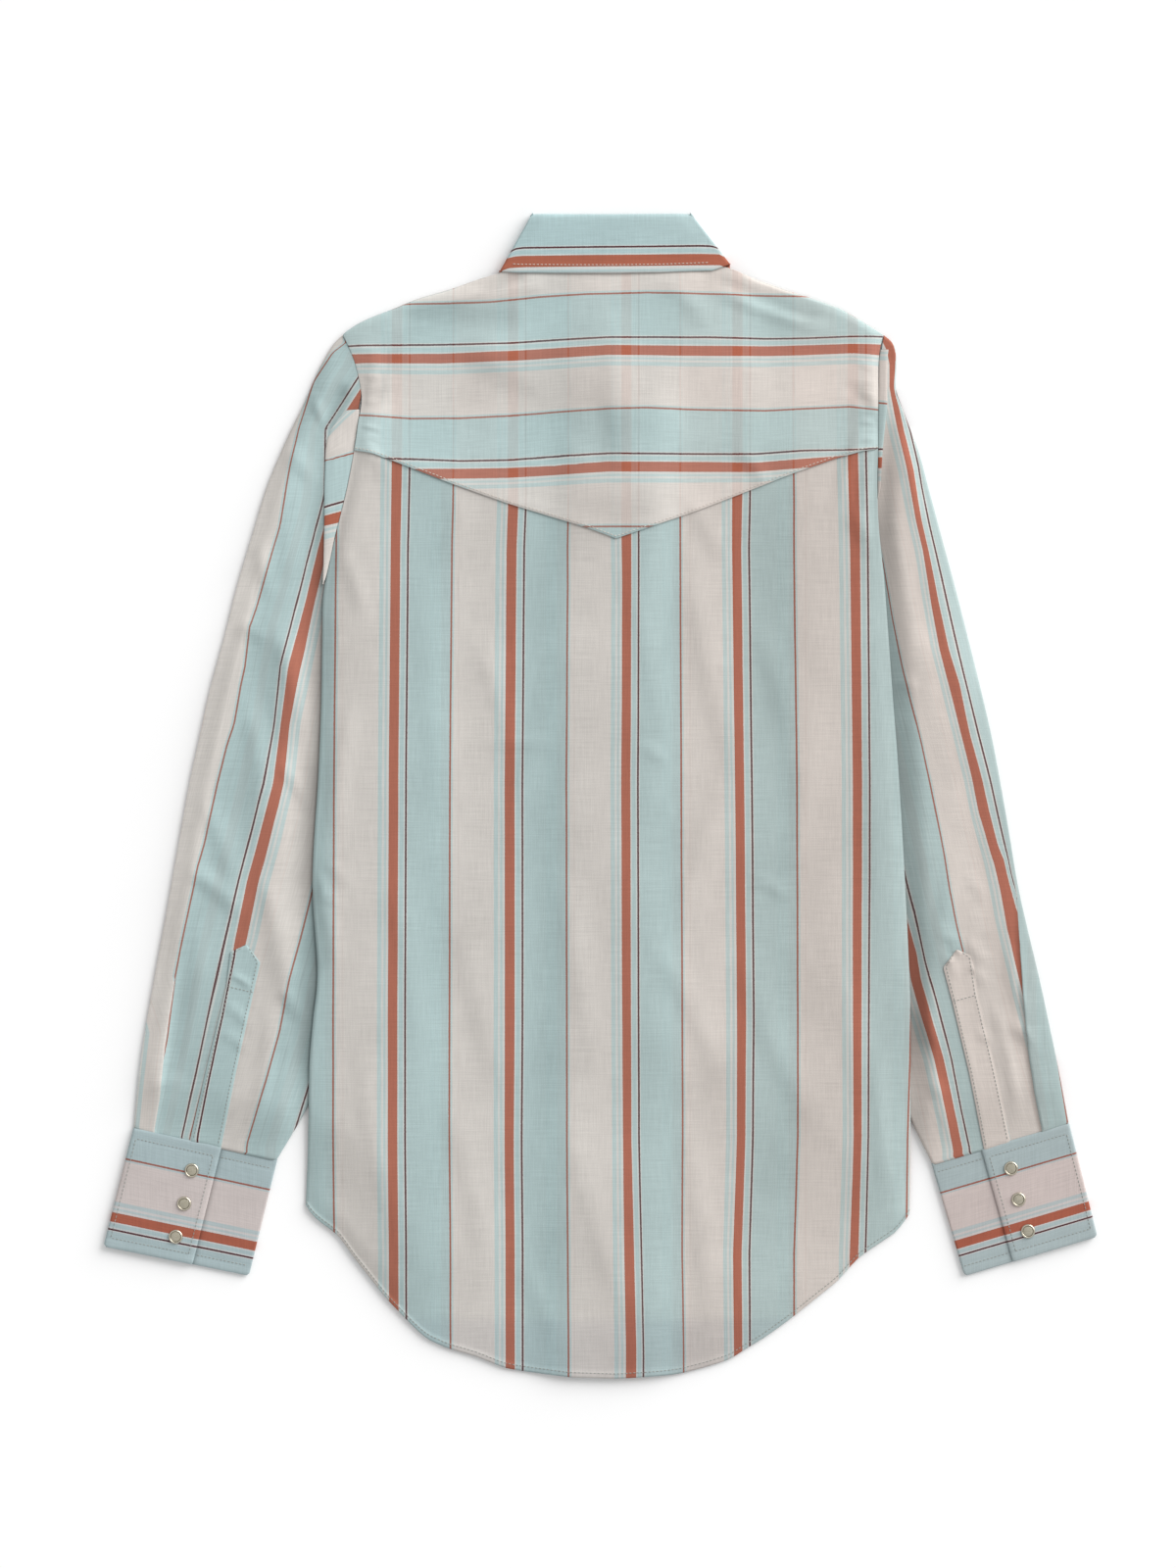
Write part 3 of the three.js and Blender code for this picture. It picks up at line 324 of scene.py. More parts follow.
# %% Shades of the body
def shades(x, y, table):
    """A factor for the cloth's tone: 1, plus a soft bell along each line of the table. It stands for the
    light that is lost in deep folds and under edges, and gained where the thin cloth lies on white."""
    tone = np.ones_like(x)
    for x0, y0, x1, y1, width, change in table:
        along, across, length = beside_line(x, y, x0, y0, x1, y1)
        beyond = np.maximum(np.maximum(-along, along - length), 0)
        tone += change * np.exp(-(across ** 2 + beyond ** 2) / width ** 2)
    return tone


YOKE_SHADES = [
    # x0, y0, x1, y1, half width, change of tone: below 0 painted shade, above 0 painted light
    (-66, 343, -130, 341, 9, -0.22), (-82, 363, -56, 372, 3.5, -0.16), (-96, 353, -44, 366, 4, 0.06),
    (79, 368, 150, 344, 6, -0.17), (120, 337, 160, 322, 13, -0.07), (-64, 301, 8, 262, 26, -0.12),
    (-8, 206, 26, 204, 15, -0.13), (-16, 370, -6, 290, 13, -0.07), (182, 284, 197, 270, 6, -0.14),
    (122, 260, 166, 260, 13, 0.07), (-150, 262, -164, 262, 16, 0.05), (-60, 330, -20, 340, 18, 0.04),
]
BODY_SHADES = [
    # x0, y0, x1, y1, half width, change of tone: below 0 painted shade, above 0 painted light
    (-196, 120, -200, -60, 8, -0.05), (-206, -70, -202, -120, 7, -0.16), (196, 180, 212, 0, 7, -0.05),
    (-36, 60, -38, -60, 13, 0.04), (-34, -100, -38, -190, 13, -0.02), (90, -205, 128, -270, 18, -0.08),
    (110, -160, 138, -190, 14, 0.05), (30, -60, 48, -170, 14, 0.03), (44, -180, 52, -210, 14, -0.07),
    (120, 90, 126, 60, 16, -0.06), (-74, 96, -66, 50, 14, 0.06), (84, 300, 96, 150, 16, 0.04),
    (150, -230, 190, -290, 16, -0.06), (-190, -250, -130, -350, 18, -0.1),
    (34, -372, 62, -392, 18, -0.1), (150, -60, 160, -160, 14, -0.05),
]
print("shades:", len(YOKE_SHADES), "on the yoke,", len(BODY_SHADES), "on the back panel")

# %% [markdown]
# ## Where the stripes run
#
# The shirting is woven with one repeat of stripes, 82.6 mm wide. The shader needs to know, at each
# point of a piece, how far across that repeat the point is. The lines of the stripes were read off
# the picture, each with its place in the repeat, and the points between two lines are shared out
# evenly, so that the stripes bend and bunch where the real cloth does.

# %% Place in the repeat
REPEAT = 82.6


def stripe_place(along, across, lines):
    """Place in the repeat, in mm. Each line gives its place and its points (along, across); the lines
    are in order of across. Between two lines the place changes evenly, and beyond the last ones by
    1 mm for each mm."""
    at = [np.interp(along, points[:, 0], points[:, 1]) for _, points in lines]
    places = [place for place, _ in lines]
    turn_first = np.sign(places[1] - places[0])
    turn_last = np.sign(places[-1] - places[-2])
    place = places[0] + turn_first * (across - at[0])
    for k in range(len(lines) - 1):
        share = (across - at[k]) / np.maximum(at[k + 1] - at[k], 0.5)
        place = np.where(across >= at[k], lerp(places[k], places[k + 1], share), place)
    return np.where(across >= at[-1], places[-1] + turn_last * (across - at[-1]), place)


def line(place, points, vertical=True):
    """A stripe line: its place in picture points from the rust band's edge, and its picture points."""
    at = from_picture(points)
    at = at[:, ::-1] if vertical else at
    return PICTURE_POINT * place, at[np.argsort(at[:, 0])]


BODY_LINES = [
    line(0, [(400, 470), (399, 560), (397, 800), (396, 1040), (396, 1160), (397, 1280)]),
    line(9.5, [(410.4, 470), (408.5, 560), (406.5, 800), (405.5, 1040), (405.5, 1160), (406.5, 1280)]),
    line(118, [(518.3, 515), (517, 560), (515, 800), (515, 1040), (515, 1160), (516, 1280), (516, 1380)]),
    line(127.5, [(528.8, 515), (527, 560), (525, 800), (525, 1040), (524, 1160), (525, 1280),
                 (525, 1380)]),
    line(236, [(634, 545), (635, 600), (634, 800), (635, 1040), (636, 1160), (637, 1280), (638.5, 1380)]),
    line(245.5, [(644, 545), (644, 600), (643, 800), (643.5, 1040), (644, 1160), (647, 1280),
                 (649, 1380)]),
    line(354, [(747, 510), (747, 560), (750, 800), (752, 1040), (752, 1160), (748, 1280), (749, 1380)]),
    line(363.5, [(757.3, 510), (756, 560), (759, 800), (761, 1040), (760, 1160), (756.5, 1280),
                 (757, 1380)]),
    line(472, [(864.4, 465), (867, 560), (870, 800), (870, 1040), (871, 1160), (867, 1280)]),
    line(481.5, [(875, 465), (877, 560), (879, 800), (878.5, 1040), (878.5, 1160), (875.5, 1280)]),
    line(534, [(929, 465), (930, 560), (932, 900), (928, 1080), (925.5, 1160), (924.5, 1290)]),
]
YOKE_LINES = [
    line(-56, [(350, 545), (600, 538), (660, 538), (900, 530)], False),
    line(0, [(350, 490), (470, 489), (520, 488), (570, 485), (620, 482), (720, 482), (770, 482),
             (820, 478), (870, 474), (900, 472)], False),
    line(9.5, [(350, 480), (470, 479), (520, 478), (570, 476), (620, 472), (720, 472), (770, 473),
               (820, 469), (870, 465), (900, 463)], False),
    line(17.3, [(350, 468), (420, 469), (470, 471), (520, 470), (570, 466), (620, 463.5), (720, 464),
                (770, 464), (820, 460.5), (870, 460), (900, 458)], False),
    line(62, [(350, 424), (365, 424), (420, 428), (470, 427.5), (520, 425), (570, 421), (620, 418),
              (660, 417), (720, 419), (780, 420), (820, 418), (867, 416), (896, 419)], False),
    line(118, [(350, 372), (370, 371), (450, 371.5), (520, 369), (570, 366), (620, 363), (720, 364),
               (780, 364), (820, 363), (870, 361), (898, 363)], False),
    line(127.5, [(350, 362), (370, 362), (450, 362), (520, 359), (570, 356), (620, 353), (720, 354),
                 (780, 354), (820, 353), (870, 351.5), (898, 352)], False),
    line(135.3, [(350, 354), (370, 353), (450, 352.5), (520, 351), (570, 347.5), (620, 345), (720, 345),
                 (780, 346.5), (820, 346), (870, 344), (905, 344)], False),
    line(180, [(360, 312), (412, 311), (450, 310.5), (500, 309), (550, 304), (600, 301), (660, 299.5),
               (720, 301), (780, 302.5), (824, 303), (880, 304)], False),
]
print("body lines:", len(BODY_LINES), "yoke lines:", len(YOKE_LINES))

# %% [markdown]
# ## One way to make every cloth piece
#
# A piece is one or more sheets. A sheet is a grid of points, the place in the repeat at each point,
# and how far along the cloth the point is. The mesh is only the outer face; a Solidify modifier gives
# it the thickness of shirting, growing inwards, and closes its edges. Two UV maps carry the weave:
# one with this layer's place in the repeat, one with the layer that faintly shows through. An
# attribute called tone carries the painted shade and painted light of the folds, and the tint of a
# few whole pieces.

# %% Sheets into meshes
CLOTH, DOUBLE_CLOTH, COLLAR_CLOTH = 0.6, 1.0, 0.9


def sheet(points, place, along, under=None, show=0.0, tone=1.0, ring=False, flip=False):
    """One grid of a piece: points (rows, columns, 3) in mm, the place across and along the repeat, the
    place in the repeat of what lies under it, with how strongly that shows, and the cloth's tone, as a
    factor for red, green and blue. A ring joins its last column to its first, and flip turns its faces
    over."""
    size = points.shape[:2]
    tone = np.asarray(tone, float)
    tone = tone[..., None] if tone.ndim == 2 else tone
    place, along = np.broadcast_to(place, size), np.broadcast_to(along, size)
    under = place if under is None else np.broadcast_to(under, size)
    uv = np.stack([place, along], -1)
    through_uv = np.stack([under, np.broadcast_to(show, size)], -1)
    tone = np.broadcast_to(tone, (*size, 3))
    return {"points": points, "uv": uv, "under": through_uv, "tone": tone, "ring": ring, "flip": flip}


def grid_quads(rows, columns, ring):
    """The four corners of every cell of a grid, with the last column joined to the first in a ring."""
    r, c = np.meshgrid(np.arange(rows - 1), np.arange(columns if ring else columns - 1), indexing="ij")
    after = (c + 1) % columns
    corners = (r * columns + c, (r + 1) * columns + c, (r + 1) * columns + after, r * columns + after)
    return np.stack([corner.ravel() for corner in corners], 1)


def mesh_object(name, points, quads, uvs, material):
    """A smooth mesh object from points in mm, quads, and a dict of UV values per point."""
    mesh = bpy.data.meshes.new(name)
    mesh.vertices.add(len(points))
    mesh.vertices.foreach_set("co", (points * MM).astype(np.float32).ravel())
    mesh.loops.add(quads.size)
    mesh.loops.foreach_set("vertex_index", quads.astype(np.int32).ravel())
    mesh.polygons.add(len(quads))
    mesh.polygons.foreach_set("loop_start", np.arange(0, quads.size, 4, dtype=np.int32))
    mesh.polygons.foreach_set("use_smooth", np.ones(len(quads), bool))
    for uv_name, values in uvs.items():
        layer = mesh.uv_layers.new(name=uv_name)
        layer.data.foreach_set("uv", values[quads.ravel()].astype(np.float32).ravel())
    mesh.update(calc_edges=True)
    mesh.validate()
    mesh.materials.append(material)
    made = bpy.data.objects.new(name, mesh)
    bpy.context.scene.collection.objects.link(made)
    return made


def cloth_piece(name, sheets, material, thickness=CLOTH):
    """Joins the sheets into one mesh and gives it the thickness of the cloth, growing inwards."""
    points, quads, uvs, unders, tones, start = [], [], [], [], [], 0
    for part in sheets:
        rows, columns = part["points"].shape[:2]
        cells = grid_quads(rows, columns, part["ring"])
        quads.append((cells[:, ::-1] if part["flip"] else cells) + start)
        points.append(part["points"].reshape(-1, 3))
        uvs.append(part["uv"].reshape(-1, 2))
        unders.append(part["under"].reshape(-1, 2))
        tones.append(part["tone"].reshape(-1, 3))
        start += rows * columns
    values = {"stripe": np.concatenate(uvs), "under": np.concatenate(unders)}
    made = mesh_object(name, np.concatenate(points), np.concatenate(quads), values, material)
    tone = made.data.attributes.new("tone", "FLOAT_VECTOR", "POINT")
    tone.data.foreach_set("vector", np.concatenate(tones).astype(np.float32).ravel())
    shell = made.modifiers.new("cloth thickness", "SOLIDIFY")
    shell.thickness = thickness * MM
    shell.offset = -1
    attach(made, "root")
    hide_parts(name.replace("_cloth", ""))
    print(name, len(made.data.polygons), "quads")
    return made


# %% [markdown]
# ## Shader maths as Python
#
# A small class wraps an output socket, so that plus, minus, times and divide add Math nodes. The
# Shop class below adds every other node with one call: its type, its settings, then its inputs.


# %% Sockets with operators
class Wire:
    """An output socket that does arithmetic."""

    def __init__(self, tree, socket):
        self.tree, self.socket = tree, socket

    def math(self, operation, *inputs):
        """A Math node with these inputs, each a wire or a number."""
        node = self.tree.nodes.new("ShaderNodeMath")
        node.operation = operation
        for slot, value in zip(node.inputs, inputs):
            if isinstance(value, Wire):
                self.tree.links.new(value.socket, slot)
            else:
                slot.default_value = value
        return Wire(self.tree, node.outputs[0])

    def __add__(self, other):
        return self.math("ADD", self, other)

    def __sub__(self, other):
        return self.math("SUBTRACT", self, other)

    def __rsub__(self, other):
        return self.math("SUBTRACT", other, self)

    def __mul__(self, other):
        return self.math("MULTIPLY", self, other)

    def __truediv__(self, other):
        return self.math("DIVIDE", self, other)

    def fract(self):
        return self.math("FRACT", self)

    def sine(self):
        return self.math("SINE", self)

    __radd__ = __add__
    __rmul__ = __mul__


class Shop:
    """Makes one material. node() adds any node: settings first, then its sockets by name or number."""

    def __init__(self, name):
        self.material = bpy.data.materials.new(name)
        self.material.use_nodes = True
        self.tree = self.material.node_tree
        self.surface = self.tree.nodes["Principled BSDF"]

    def node(self, kind, settings=None, inputs=None, output=0):
        """Any node: its type, its settings, its inputs by name or number, and which output is used."""
        node = self.tree.nodes.new("ShaderNode" + kind)
        for key, value in (settings or {}).items():
            if key == "stops":
                self.stops(node.color_ramp, value)
            else:
                setattr(node, key, value)
        self.fill(node, inputs or {})
        return Wire(self.tree, node.outputs[output])

    def fill(self, node, inputs):
        """Links a wire to its input, or writes a value there."""
        for key, value in inputs.items():
            if isinstance(value, Wire):
                self.tree.links.new(value.socket, node.inputs[key])
            else:
                node.inputs[key].default_value = value

    def stops(self, ramp, stops):
        """Sets the steps of a colour ramp, each with its start and its colour."""
        ramp.interpolation = "CONSTANT"
        while len(ramp.elements) < len(stops):
            ramp.elements.new(0.5)
        for element, (place, colour) in zip(ramp.elements, stops):
            element.position = place
            element.color = (*colour, 1)

    def mix(self, a, b, factor, blend="MIX"):
        """A mix of two colours."""
        settings = {"data_type": "RGBA", "blend_type": blend}
        return self.node("Mix", settings, {0: factor, 6: a, 7: b}, 2)

    def part(self, vector, axis):
        """One number of a vector: 0, 1 or 2."""
        return self.node("SeparateXYZ", {}, {0: vector}, axis)

    def object_place(self):
        """The point's own place in the part."""
        return self.node("TexCoord", {}, {}, 3)


def linear(red, green, blue, light=1.0):
    """A colour as seen on screen, as the share of light that the cloth gives back under that light."""
    screen = np.array([red, green, blue]) / 255
    steep = np.where(screen <= 0.04045, screen / 12.92, ((screen + 0.055) / 1.055) ** 2.4)
    return tuple(float(v) for v in steep / light)


# %% [markdown]
# ## The striped shirting
#
# Yarn-dyed cotton: the stripes are warp yarns and the weft is pale, so no stripe is quite one colour.
# A ramp holds the stripes of one repeat. Fine noise moves their edges by about a yarn, long thin
# noise along and across makes slubs, and a sine of each thread gives the bump of the weave. The
# layer below shows faintly through, and the tone attribute, with the painted shade and painted light
# of the folds, is multiplied in. The warm light from the right is painted, as a slow change of tint.

# %% The cloth material
LIGHT = 1.15
THREAD_PITCH = 0.45
SEEN = {
    "rust": (167, 96, 74), "pale": (196, 203, 200), "aqua": (171, 192, 192), "dark": (84, 52, 54),
    "brown": (154, 100, 86), "pin": (180, 196, 195), "cream": (206, 200, 194), "cream pin": (202, 203, 199),
}
SHADES = {shade: linear(*colour, LIGHT) for shade, colour in SEEN.items()}
STRIPES = [
    # where each band starts in the repeat, in mm
    (0.0, "rust"), (6.65, "pale"), (7.6, "aqua"), (10.4, "pale"), (11.5, "dark"), (12.7, "pale"),
    (13.4, "aqua"), (42.6, "brown"), (43.9, "pin"), (45.4, "cream"), (74.6, "pin"), (77.7, "cream pin"),
    (79.1, "pin"), (80.8, "cream pin"), (82.0, "pale"),
]
STOPS = [(place / REPEAT, SHADES[shade]) for place, shade in STRIPES]


def shirting():
    """The material of every cloth piece, which reads its own two UV maps."""
    shop = Shop("striped_shirting")
    uv = shop.node("UVMap", {"uv_map": "stripe"})
    place, along = shop.part(uv, 0), shop.part(uv, 1)
    under_uv = shop.node("UVMap", {"uv_map": "under"})
    under, show = shop.part(under_uv, 0), shop.part(under_uv, 1)

    def noise(across_scale, along_scale, detail=2.0):
        where = shop.node("CombineXYZ", {}, {0: place * across_scale, 1: along * along_scale})
        inputs = {"Vector": where, "Scale": 1.0, "Detail": detail}
        return shop.node("TexNoise", {"noise_dimensions": "2D"}, inputs)

    yarn = noise(1.9, 0.9, 1.0) - 0.5
    drift = noise(0.02, 0.012, 1.0) - 0.5
    moved = place + yarn * 0.3 + drift * 0.3
    own_colour = shop.node("ValToRGB", {"stops": STOPS}, {0: (moved / REPEAT).fract()})
    below_colour = shop.node("ValToRGB", {"stops": STOPS}, {0: (under / REPEAT).fract()})
    colour = shop.mix(own_colour, below_colour, show)
    slub = noise(1.2, 0.05) * 0.5 + noise(0.04, 1.3) * 0.5
    cloudy = noise(0.024, 0.014, 3.0)
    shade = slub * 0.42 + cloudy * 0.2 + 0.69
    grey = shop.node("CombineXYZ", {}, {0: shade, 1: shade, 2: shade})
    colour = shop.mix(colour, grey, 1.0, "MULTIPLY")
    tone = shop.node("Attribute", {"attribute_name": "tone"}, {}, 1)
    colour = shop.mix(colour, tone, 1.0, "MULTIPLY")
    # Painted warm light: the colour is tinted warmer towards the right.
    side = shop.part(shop.object_place(), 0)
    warm_light = shop.node("MapRange", {"clamp": True}, {0: side, 1: -0.02, 2: 0.12, 3: 0.0, 4: 1.0})
    colour = shop.mix(colour, (1.03, 0.985, 0.97, 1), warm_light, "MULTIPLY")
    turns = 2 * np.pi / THREAD_PITCH
    height = (place * turns).sine() * (along * turns).sine() * 0.25 + slub
    bump = shop.node("Bump", {}, {"Strength": 0.35, "Distance": 0.00025, "Height": height})
    shop.fill(shop.surface, {
        "Base Color": colour, "Roughness": slub * 0.12 + 0.82, "Normal": bump, "Sheen Weight": 0.08,
        "Sheen Roughness": 0.5, "Specular IOR Level": 0.25,
    })
    return shop.material


cloth = shirting()
print("stripes in a repeat:", len(STRIPES))

# %% [markdown]
# ## Stitching
#
# Topstitching is modelled, not painted: each stitch is a small rounded bar of thread that sinks into
# the cloth at both ends. All the stitches of a piece are one mesh, made by placing one template along
# a line of points on the cloth. The hem, cuffs and plackets are sewn in grey thread, the yoke's point
# and the collar in a pale one.

# %% Rows of stitches
STITCH, STITCH_STEP, THREAD = 1.9, 2.8, 0.26
TEMPLATE_ALONG = np.array([-0.5, -0.38, 0.0, 0.38, 0.5]) * STITCH
TEMPLATE_SIZE = np.array([0.45, 0.9, 1.0, 0.9, 0.45]) * THREAD
TEMPLATE_UP = np.array([-0.12, 0.06, 0.16, 0.06, -0.12])
STITCH_SIDES = 6


def thread_material(name, low, high):
    """Thread: cotton with a fine twist along the object's own coordinates."""
    shop = Shop(name)
    at = shop.object_place()
    twist = shop.node("TexNoise", {}, {"Vector": at, "Scale": 1500.0, "Detail": 1.0})
    colour = shop.mix((*linear(*low, LIGHT), 1), (*linear(*high, LIGHT), 1), twist)
    bump = shop.node("Bump", {}, {"Strength": 0.3, "Distance": 0.0001, "Height": twist})
    shop.fill(shop.surface, {"Base Color": colour, "Roughness": twist * 0.2 + 0.6, "Normal": bump})
    return shop.material


grey_thread = thread_material("grey_thread", (140, 146, 143), (168, 168, 160))
pale_thread = thread_material("pale_thread", (205, 195, 185), (225, 215, 205))


def spaced(line_points, step):
    """Points and directions along a line of points, one step apart."""
    run = np.concatenate([[0], np.cumsum(np.linalg.norm(np.diff(line_points, axis=0), axis=1))])
    at = np.arange(step / 2, run[-1] - step / 4, step)
    point, ahead, back = (
        np.stack([np.interp(at + shift, run, line_points[:, k]) for k in range(3)], 1)
        for shift in (0, 0.6, -0.6)
    )
    way = ahead - back
    return point, way / np.linalg.norm(way, axis=1, keepdims=True)


def stitches(name, lines, host, yarn):
    """Every stitch is the template turned along its line: five six-sided rings, closed at both ends by
    rings that are drawn nearly shut, half sunk into the cloth."""
    turn = np.linspace(0, 2 * np.pi, STITCH_SIDES, endpoint=False)
    rings = []
    for line_points in lines:
        point, way = spaced(np.asarray(line_points, float), STITCH_STEP)
        aside = np.cross(way, [0, 0, 1])
        aside /= np.linalg.norm(aside, axis=1, keepdims=True)
        up = np.cross(aside, way)
        along = TEMPLATE_ALONG[None, :, None, None] * way[:, None, None, :]
        out = TEMPLATE_SIZE[:, None] * np.cos(turn)
        lift = TEMPLATE_SIZE[:, None] * np.sin(turn) + TEMPLATE_UP[:, None]
        wide = out[None, :, :, None] * aside[:, None, None, :]
        high = lift[None, :, :, None] * up[:, None, None, :]
        rings.append(point[:, None, None, :] + along + wide + high)
    rings = np.concatenate(rings)
    count = len(rings)
    middle = rings.mean(axis=2, keepdims=True)
    shut = lerp(middle, rings, 0.02)
    rings = np.concatenate([shut[:, :1], rings, shut[:, -1:]], axis=1)
    ring_count = len(TEMPLATE_ALONG) + 2
    cells = grid_quads(ring_count, STITCH_SIDES, True)[:, ::-1]
    first = ring_count * STITCH_SIDES * np.arange(count)
    quads = (cells[None] + first[:, None, None]).reshape(-1, 4)
    made = mesh_object(name, rings.reshape(-1, 3), quads, {}, yarn)
    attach(made, "root")
    print(name, count, "stitches on", host)
    return made


# %% [markdown]
# ## The back panel
#
# One piece of cloth from the shoulders to the shirt-tail hem. Its side edges turn down over the
# fronts, where the side seams are, and its hem is a narrow double fold with one row of stitches.

# %% Back panel
HEM_STEPS = np.array([9.0, 6.6, 5.6, 4.8, 3.6, 2.2, 1.1, 0.4, 0.0])
HEM_STITCH = 3
FAR = 50.0
FRONT_SHIFT = 31


def rows_to(t_start, t_end, step, share, last_steps):
    """Row numbers for a grid: even rows down to one row before the last, then rows that spread evenly
    in each column up to the ones at fixed distances from the last edge."""
    above, below = (body_xy(share, np.full_like(share, t))[1] for t in (t_end - 1.0, t_end))
    spacing = np.abs(above - below)
    even = even_rows(t_start, t_end - 1.0, step)
    most_rows = 0.9 - 0.02 * np.arange(len(last_steps))
    near = t_end - np.minimum(last_steps[:, None] / spacing[None, :], most_rows[:, None])
    count = int((spacing.max() - last_steps[0]) / step) + 1
    spread = lerp(t_end - 1.0, near[0][None, :], np.arange(1, count)[:, None] / count)
    return np.concatenate([np.broadcast_to(even[:, None], (len(even), len(share))), spread, near])


def back_panel_points():
    """The body grid at its own height, plus the lay, less the rolled side edges, plus the hem's fold."""
    share = edged(BODY_WIDTH, 4.2)
    t = rows_to(0.02, HEM_ROW, 4.6, share, HEM_STEPS)
    share = np.broadcast_to(share, t.shape)
    x, y = body_xy(share, t)
    from_side = np.minimum(share, 1 - share) * HEM_WIDTH
    roll = 1.15 * bell(from_side, 0.9) * ease(t, SIDE_SEAM_ROW - 1.5, SIDE_SEAM_ROW)
    roll += 0.75 * bell(from_side, 2.2) * (1 - ease(t, VEE_ROW - 0.5, VEE_ROW))
    z = rise(share, t) + LAYER + overlap_rise(share, t) + WALL - roll + body_lay(share, t, x, y)
    to_hem = np.full(t.shape, FAR)
    to_hem[-len(HEM_STEPS):] = HEM_STEPS[:, None]
    z += 0.4 * hump(to_hem, 0.1, 1.2, 4.8, 6.8) - 0.35 * bell(to_hem, 0.7)
    return np.stack([x, y, z], -1)


back_points = back_panel_points()
x, y = back_points[..., 0], back_points[..., 1]
back_place = stripe_place(y, x, BODY_LINES)
front_place = x + FRONT_SHIFT
at_hem = ease(-y, 371, 376)
# Painted shade and painted light along the folds of the back panel; along the hem the colour is also made
# darker and a little bluer.
back_shade = shades(x, y, BODY_SHADES) - 0.07 * at_hem
back_tone = np.stack([back_shade, back_shade, back_shade + 0.02 * at_hem], -1)
back_sheet = sheet(back_points, back_place, y, front_place, 0.05, back_tone)
back = cloth_piece("back_panel_cloth", [back_sheet], cloth)
hem_seam = back_points[-(len(HEM_STEPS) - HEM_STITCH)]
hem_thread = stitches("hem_stitches", [hem_seam], "the hem", grey_thread)

# %% [markdown]
# ## The pointed yoke
#
# The yoke is cut across the cloth, so its stripes run from shoulder to shoulder. It lies on the back
# panel, turns down over the shoulder seams, and its pointed edge is folded under and stitched down.
# The upright stripes of the back panel show faintly through it.

# %% Back yoke
VEE_STEPS = np.array([11.0, 8.5, 6.5, 4.5, 2.6, 1.6, 0.8, 0.3, 0.0])
VEE_STITCH = 5


def yoke_points():
    """The upper body grid, one layer higher than the back panel, with its top edge turned down over the
    shoulders and a seam allowance that thickens the last millimetres along the point."""
    share = edged(YOKE_WIDTH, 4.0)
    t = rows_to(0.0, VEE_ROW, 4.2, share, VEE_STEPS)
    near_top = np.broadcast_to(np.array([[0.0], [0.015], [0.035], [0.07], [0.12]]), (5, len(share)))
    t = np.concatenate([near_top, t[t[:, 0] > 0.16]])
    share = np.broadcast_to(share, t.shape)
    x, y = body_xy(share, t)
    lip = hump(share, 0, 0.03, 0.23, 0.27) + hump(share, 0.73, 0.77, 0.97, 1)
    z = rise(share, t) + 2 * LAYER + overlap_rise(share, t) + WALL + body_lay(share, t, x, y)
    z -= 2.3 * lip * bell(t, 0.035)
    z -= 0.45 * bell(share * YOKE_WIDTH, 1.2) + 1.2 * bell((1 - share) * YOKE_WIDTH, 2.2)
    to_edge = np.full(t.shape, FAR)
    to_edge[-len(VEE_STEPS):] = VEE_STEPS[:, None]
    z += 0.12 * hump(to_edge, -0.5, 0.8, 5.5, 9.5) - 0.35 * bell(to_edge, 0.9)
    return np.stack([x, y, z], -1)


yoke_grid = yoke_points()
x, y = yoke_grid[..., 0], yoke_grid[..., 1]
yoke_place = stripe_place(x, y, YOKE_LINES)
below = stripe_place(y, x, BODY_LINES)
# Painted light: the whole yoke is made 13% lighter than the back panel, and its folds get painted shade and
# painted light.
yoke_light_and_shade = 1.13 * shades(x, y, YOKE_SHADES)
yoke_sheet = sheet(yoke_grid, yoke_place, x, below, 0.12, yoke_light_and_shade)
yoke = cloth_piece("back_yoke_cloth", [yoke_sheet], cloth)
yoke_seam = yoke_grid[-(len(VEE_STEPS) - VEE_STITCH)] - (0, 0, 0.08)
yoke_thread = stitches("yoke_stitches", [yoke_seam], "the yoke's point", pale_thread)

# %% [markdown]
# ## The fronts and the snap placket
#
# They lie face down under the back, so the camera never sees them, but a look from the side or from
# below does. Their neckline is scooped. The placket strip along the left front lies lowest, with its
# snaps towards the table, and the right front passes over it.

# %% Fronts
SCOOP = np.array([
    # share of the width, height of the neckline
    (0.36, 346.0), (0.4, 322.0), (0.44, 304.0), (0.457, 299.0), (0.5, 292.5), (0.543, 299.0),
    (0.56, 304.0), (0.6, 322.0), (0.64, 346.0),
])
OVERLAP = (0.457, 0.543)
PLACKET_SHIFT = 66


def neck_rows(share):
    """The row number where each column of a front starts: row 0 at the shoulders, and in the middle the
    row whose height is the neckline's, found on a fine list of rows."""
    fine = np.linspace(0, 6, 500)
    heights = body_xy(share[None, :], fine[:, None])[1] + MIDDLE[1]
    wanted = np.interp(share, SCOOP[:, 0], SCOOP[:, 1])
    at = fine[np.argmin(np.abs(heights - wanted), axis=0)]
    in_neck = (share >= SCOOP[0, 0] - 0.001) & (share <= SCOOP[-1, 0] + 0.001)
    return np.where(in_neck, at, 0.05)


def front_points(first, last, shift, over):
    """A front between two shares of the width, on the lowest height of the body, plus what it covers.
    Below the armholes its side edge is drawn in 1.8 mm, behind the rolled edge of the back panel."""
    width = (last - first) * HEM_WIDTH
    share = first + (last - first) * edged(width, 8)
    start = neck_rows(share)
    down = np.concatenate([[0, 0.002, 0.006], np.linspace(0.012, 0.988, 100), [0.995, 0.9985, 1]])
    t = start[None, :] + (HEM_ROW - 0.04 - start)[None, :] * down[:, None]
    share = np.broadcast_to(share, t.shape)
    x, y = body_xy(share, t)
    inset = 1.8 * ease(t, 5, 6)
    x = x + inset * (share < 0.002) - inset * (share > 0.998) + shift * (share <= first + 1e-6)
    return np.stack([x, y, rise(share, t) + over(share, t) + WALL], -1)


def closing(share, t):
    """The right front passes over the placket and comes down beside it."""
    placket = row_value(PLACKET, t)
    outside = placket * (1 - ease(share, 0.56, 0.64))
    return LAYER * np.where(share < 0.56, np.maximum(placket, 0.6), outside)


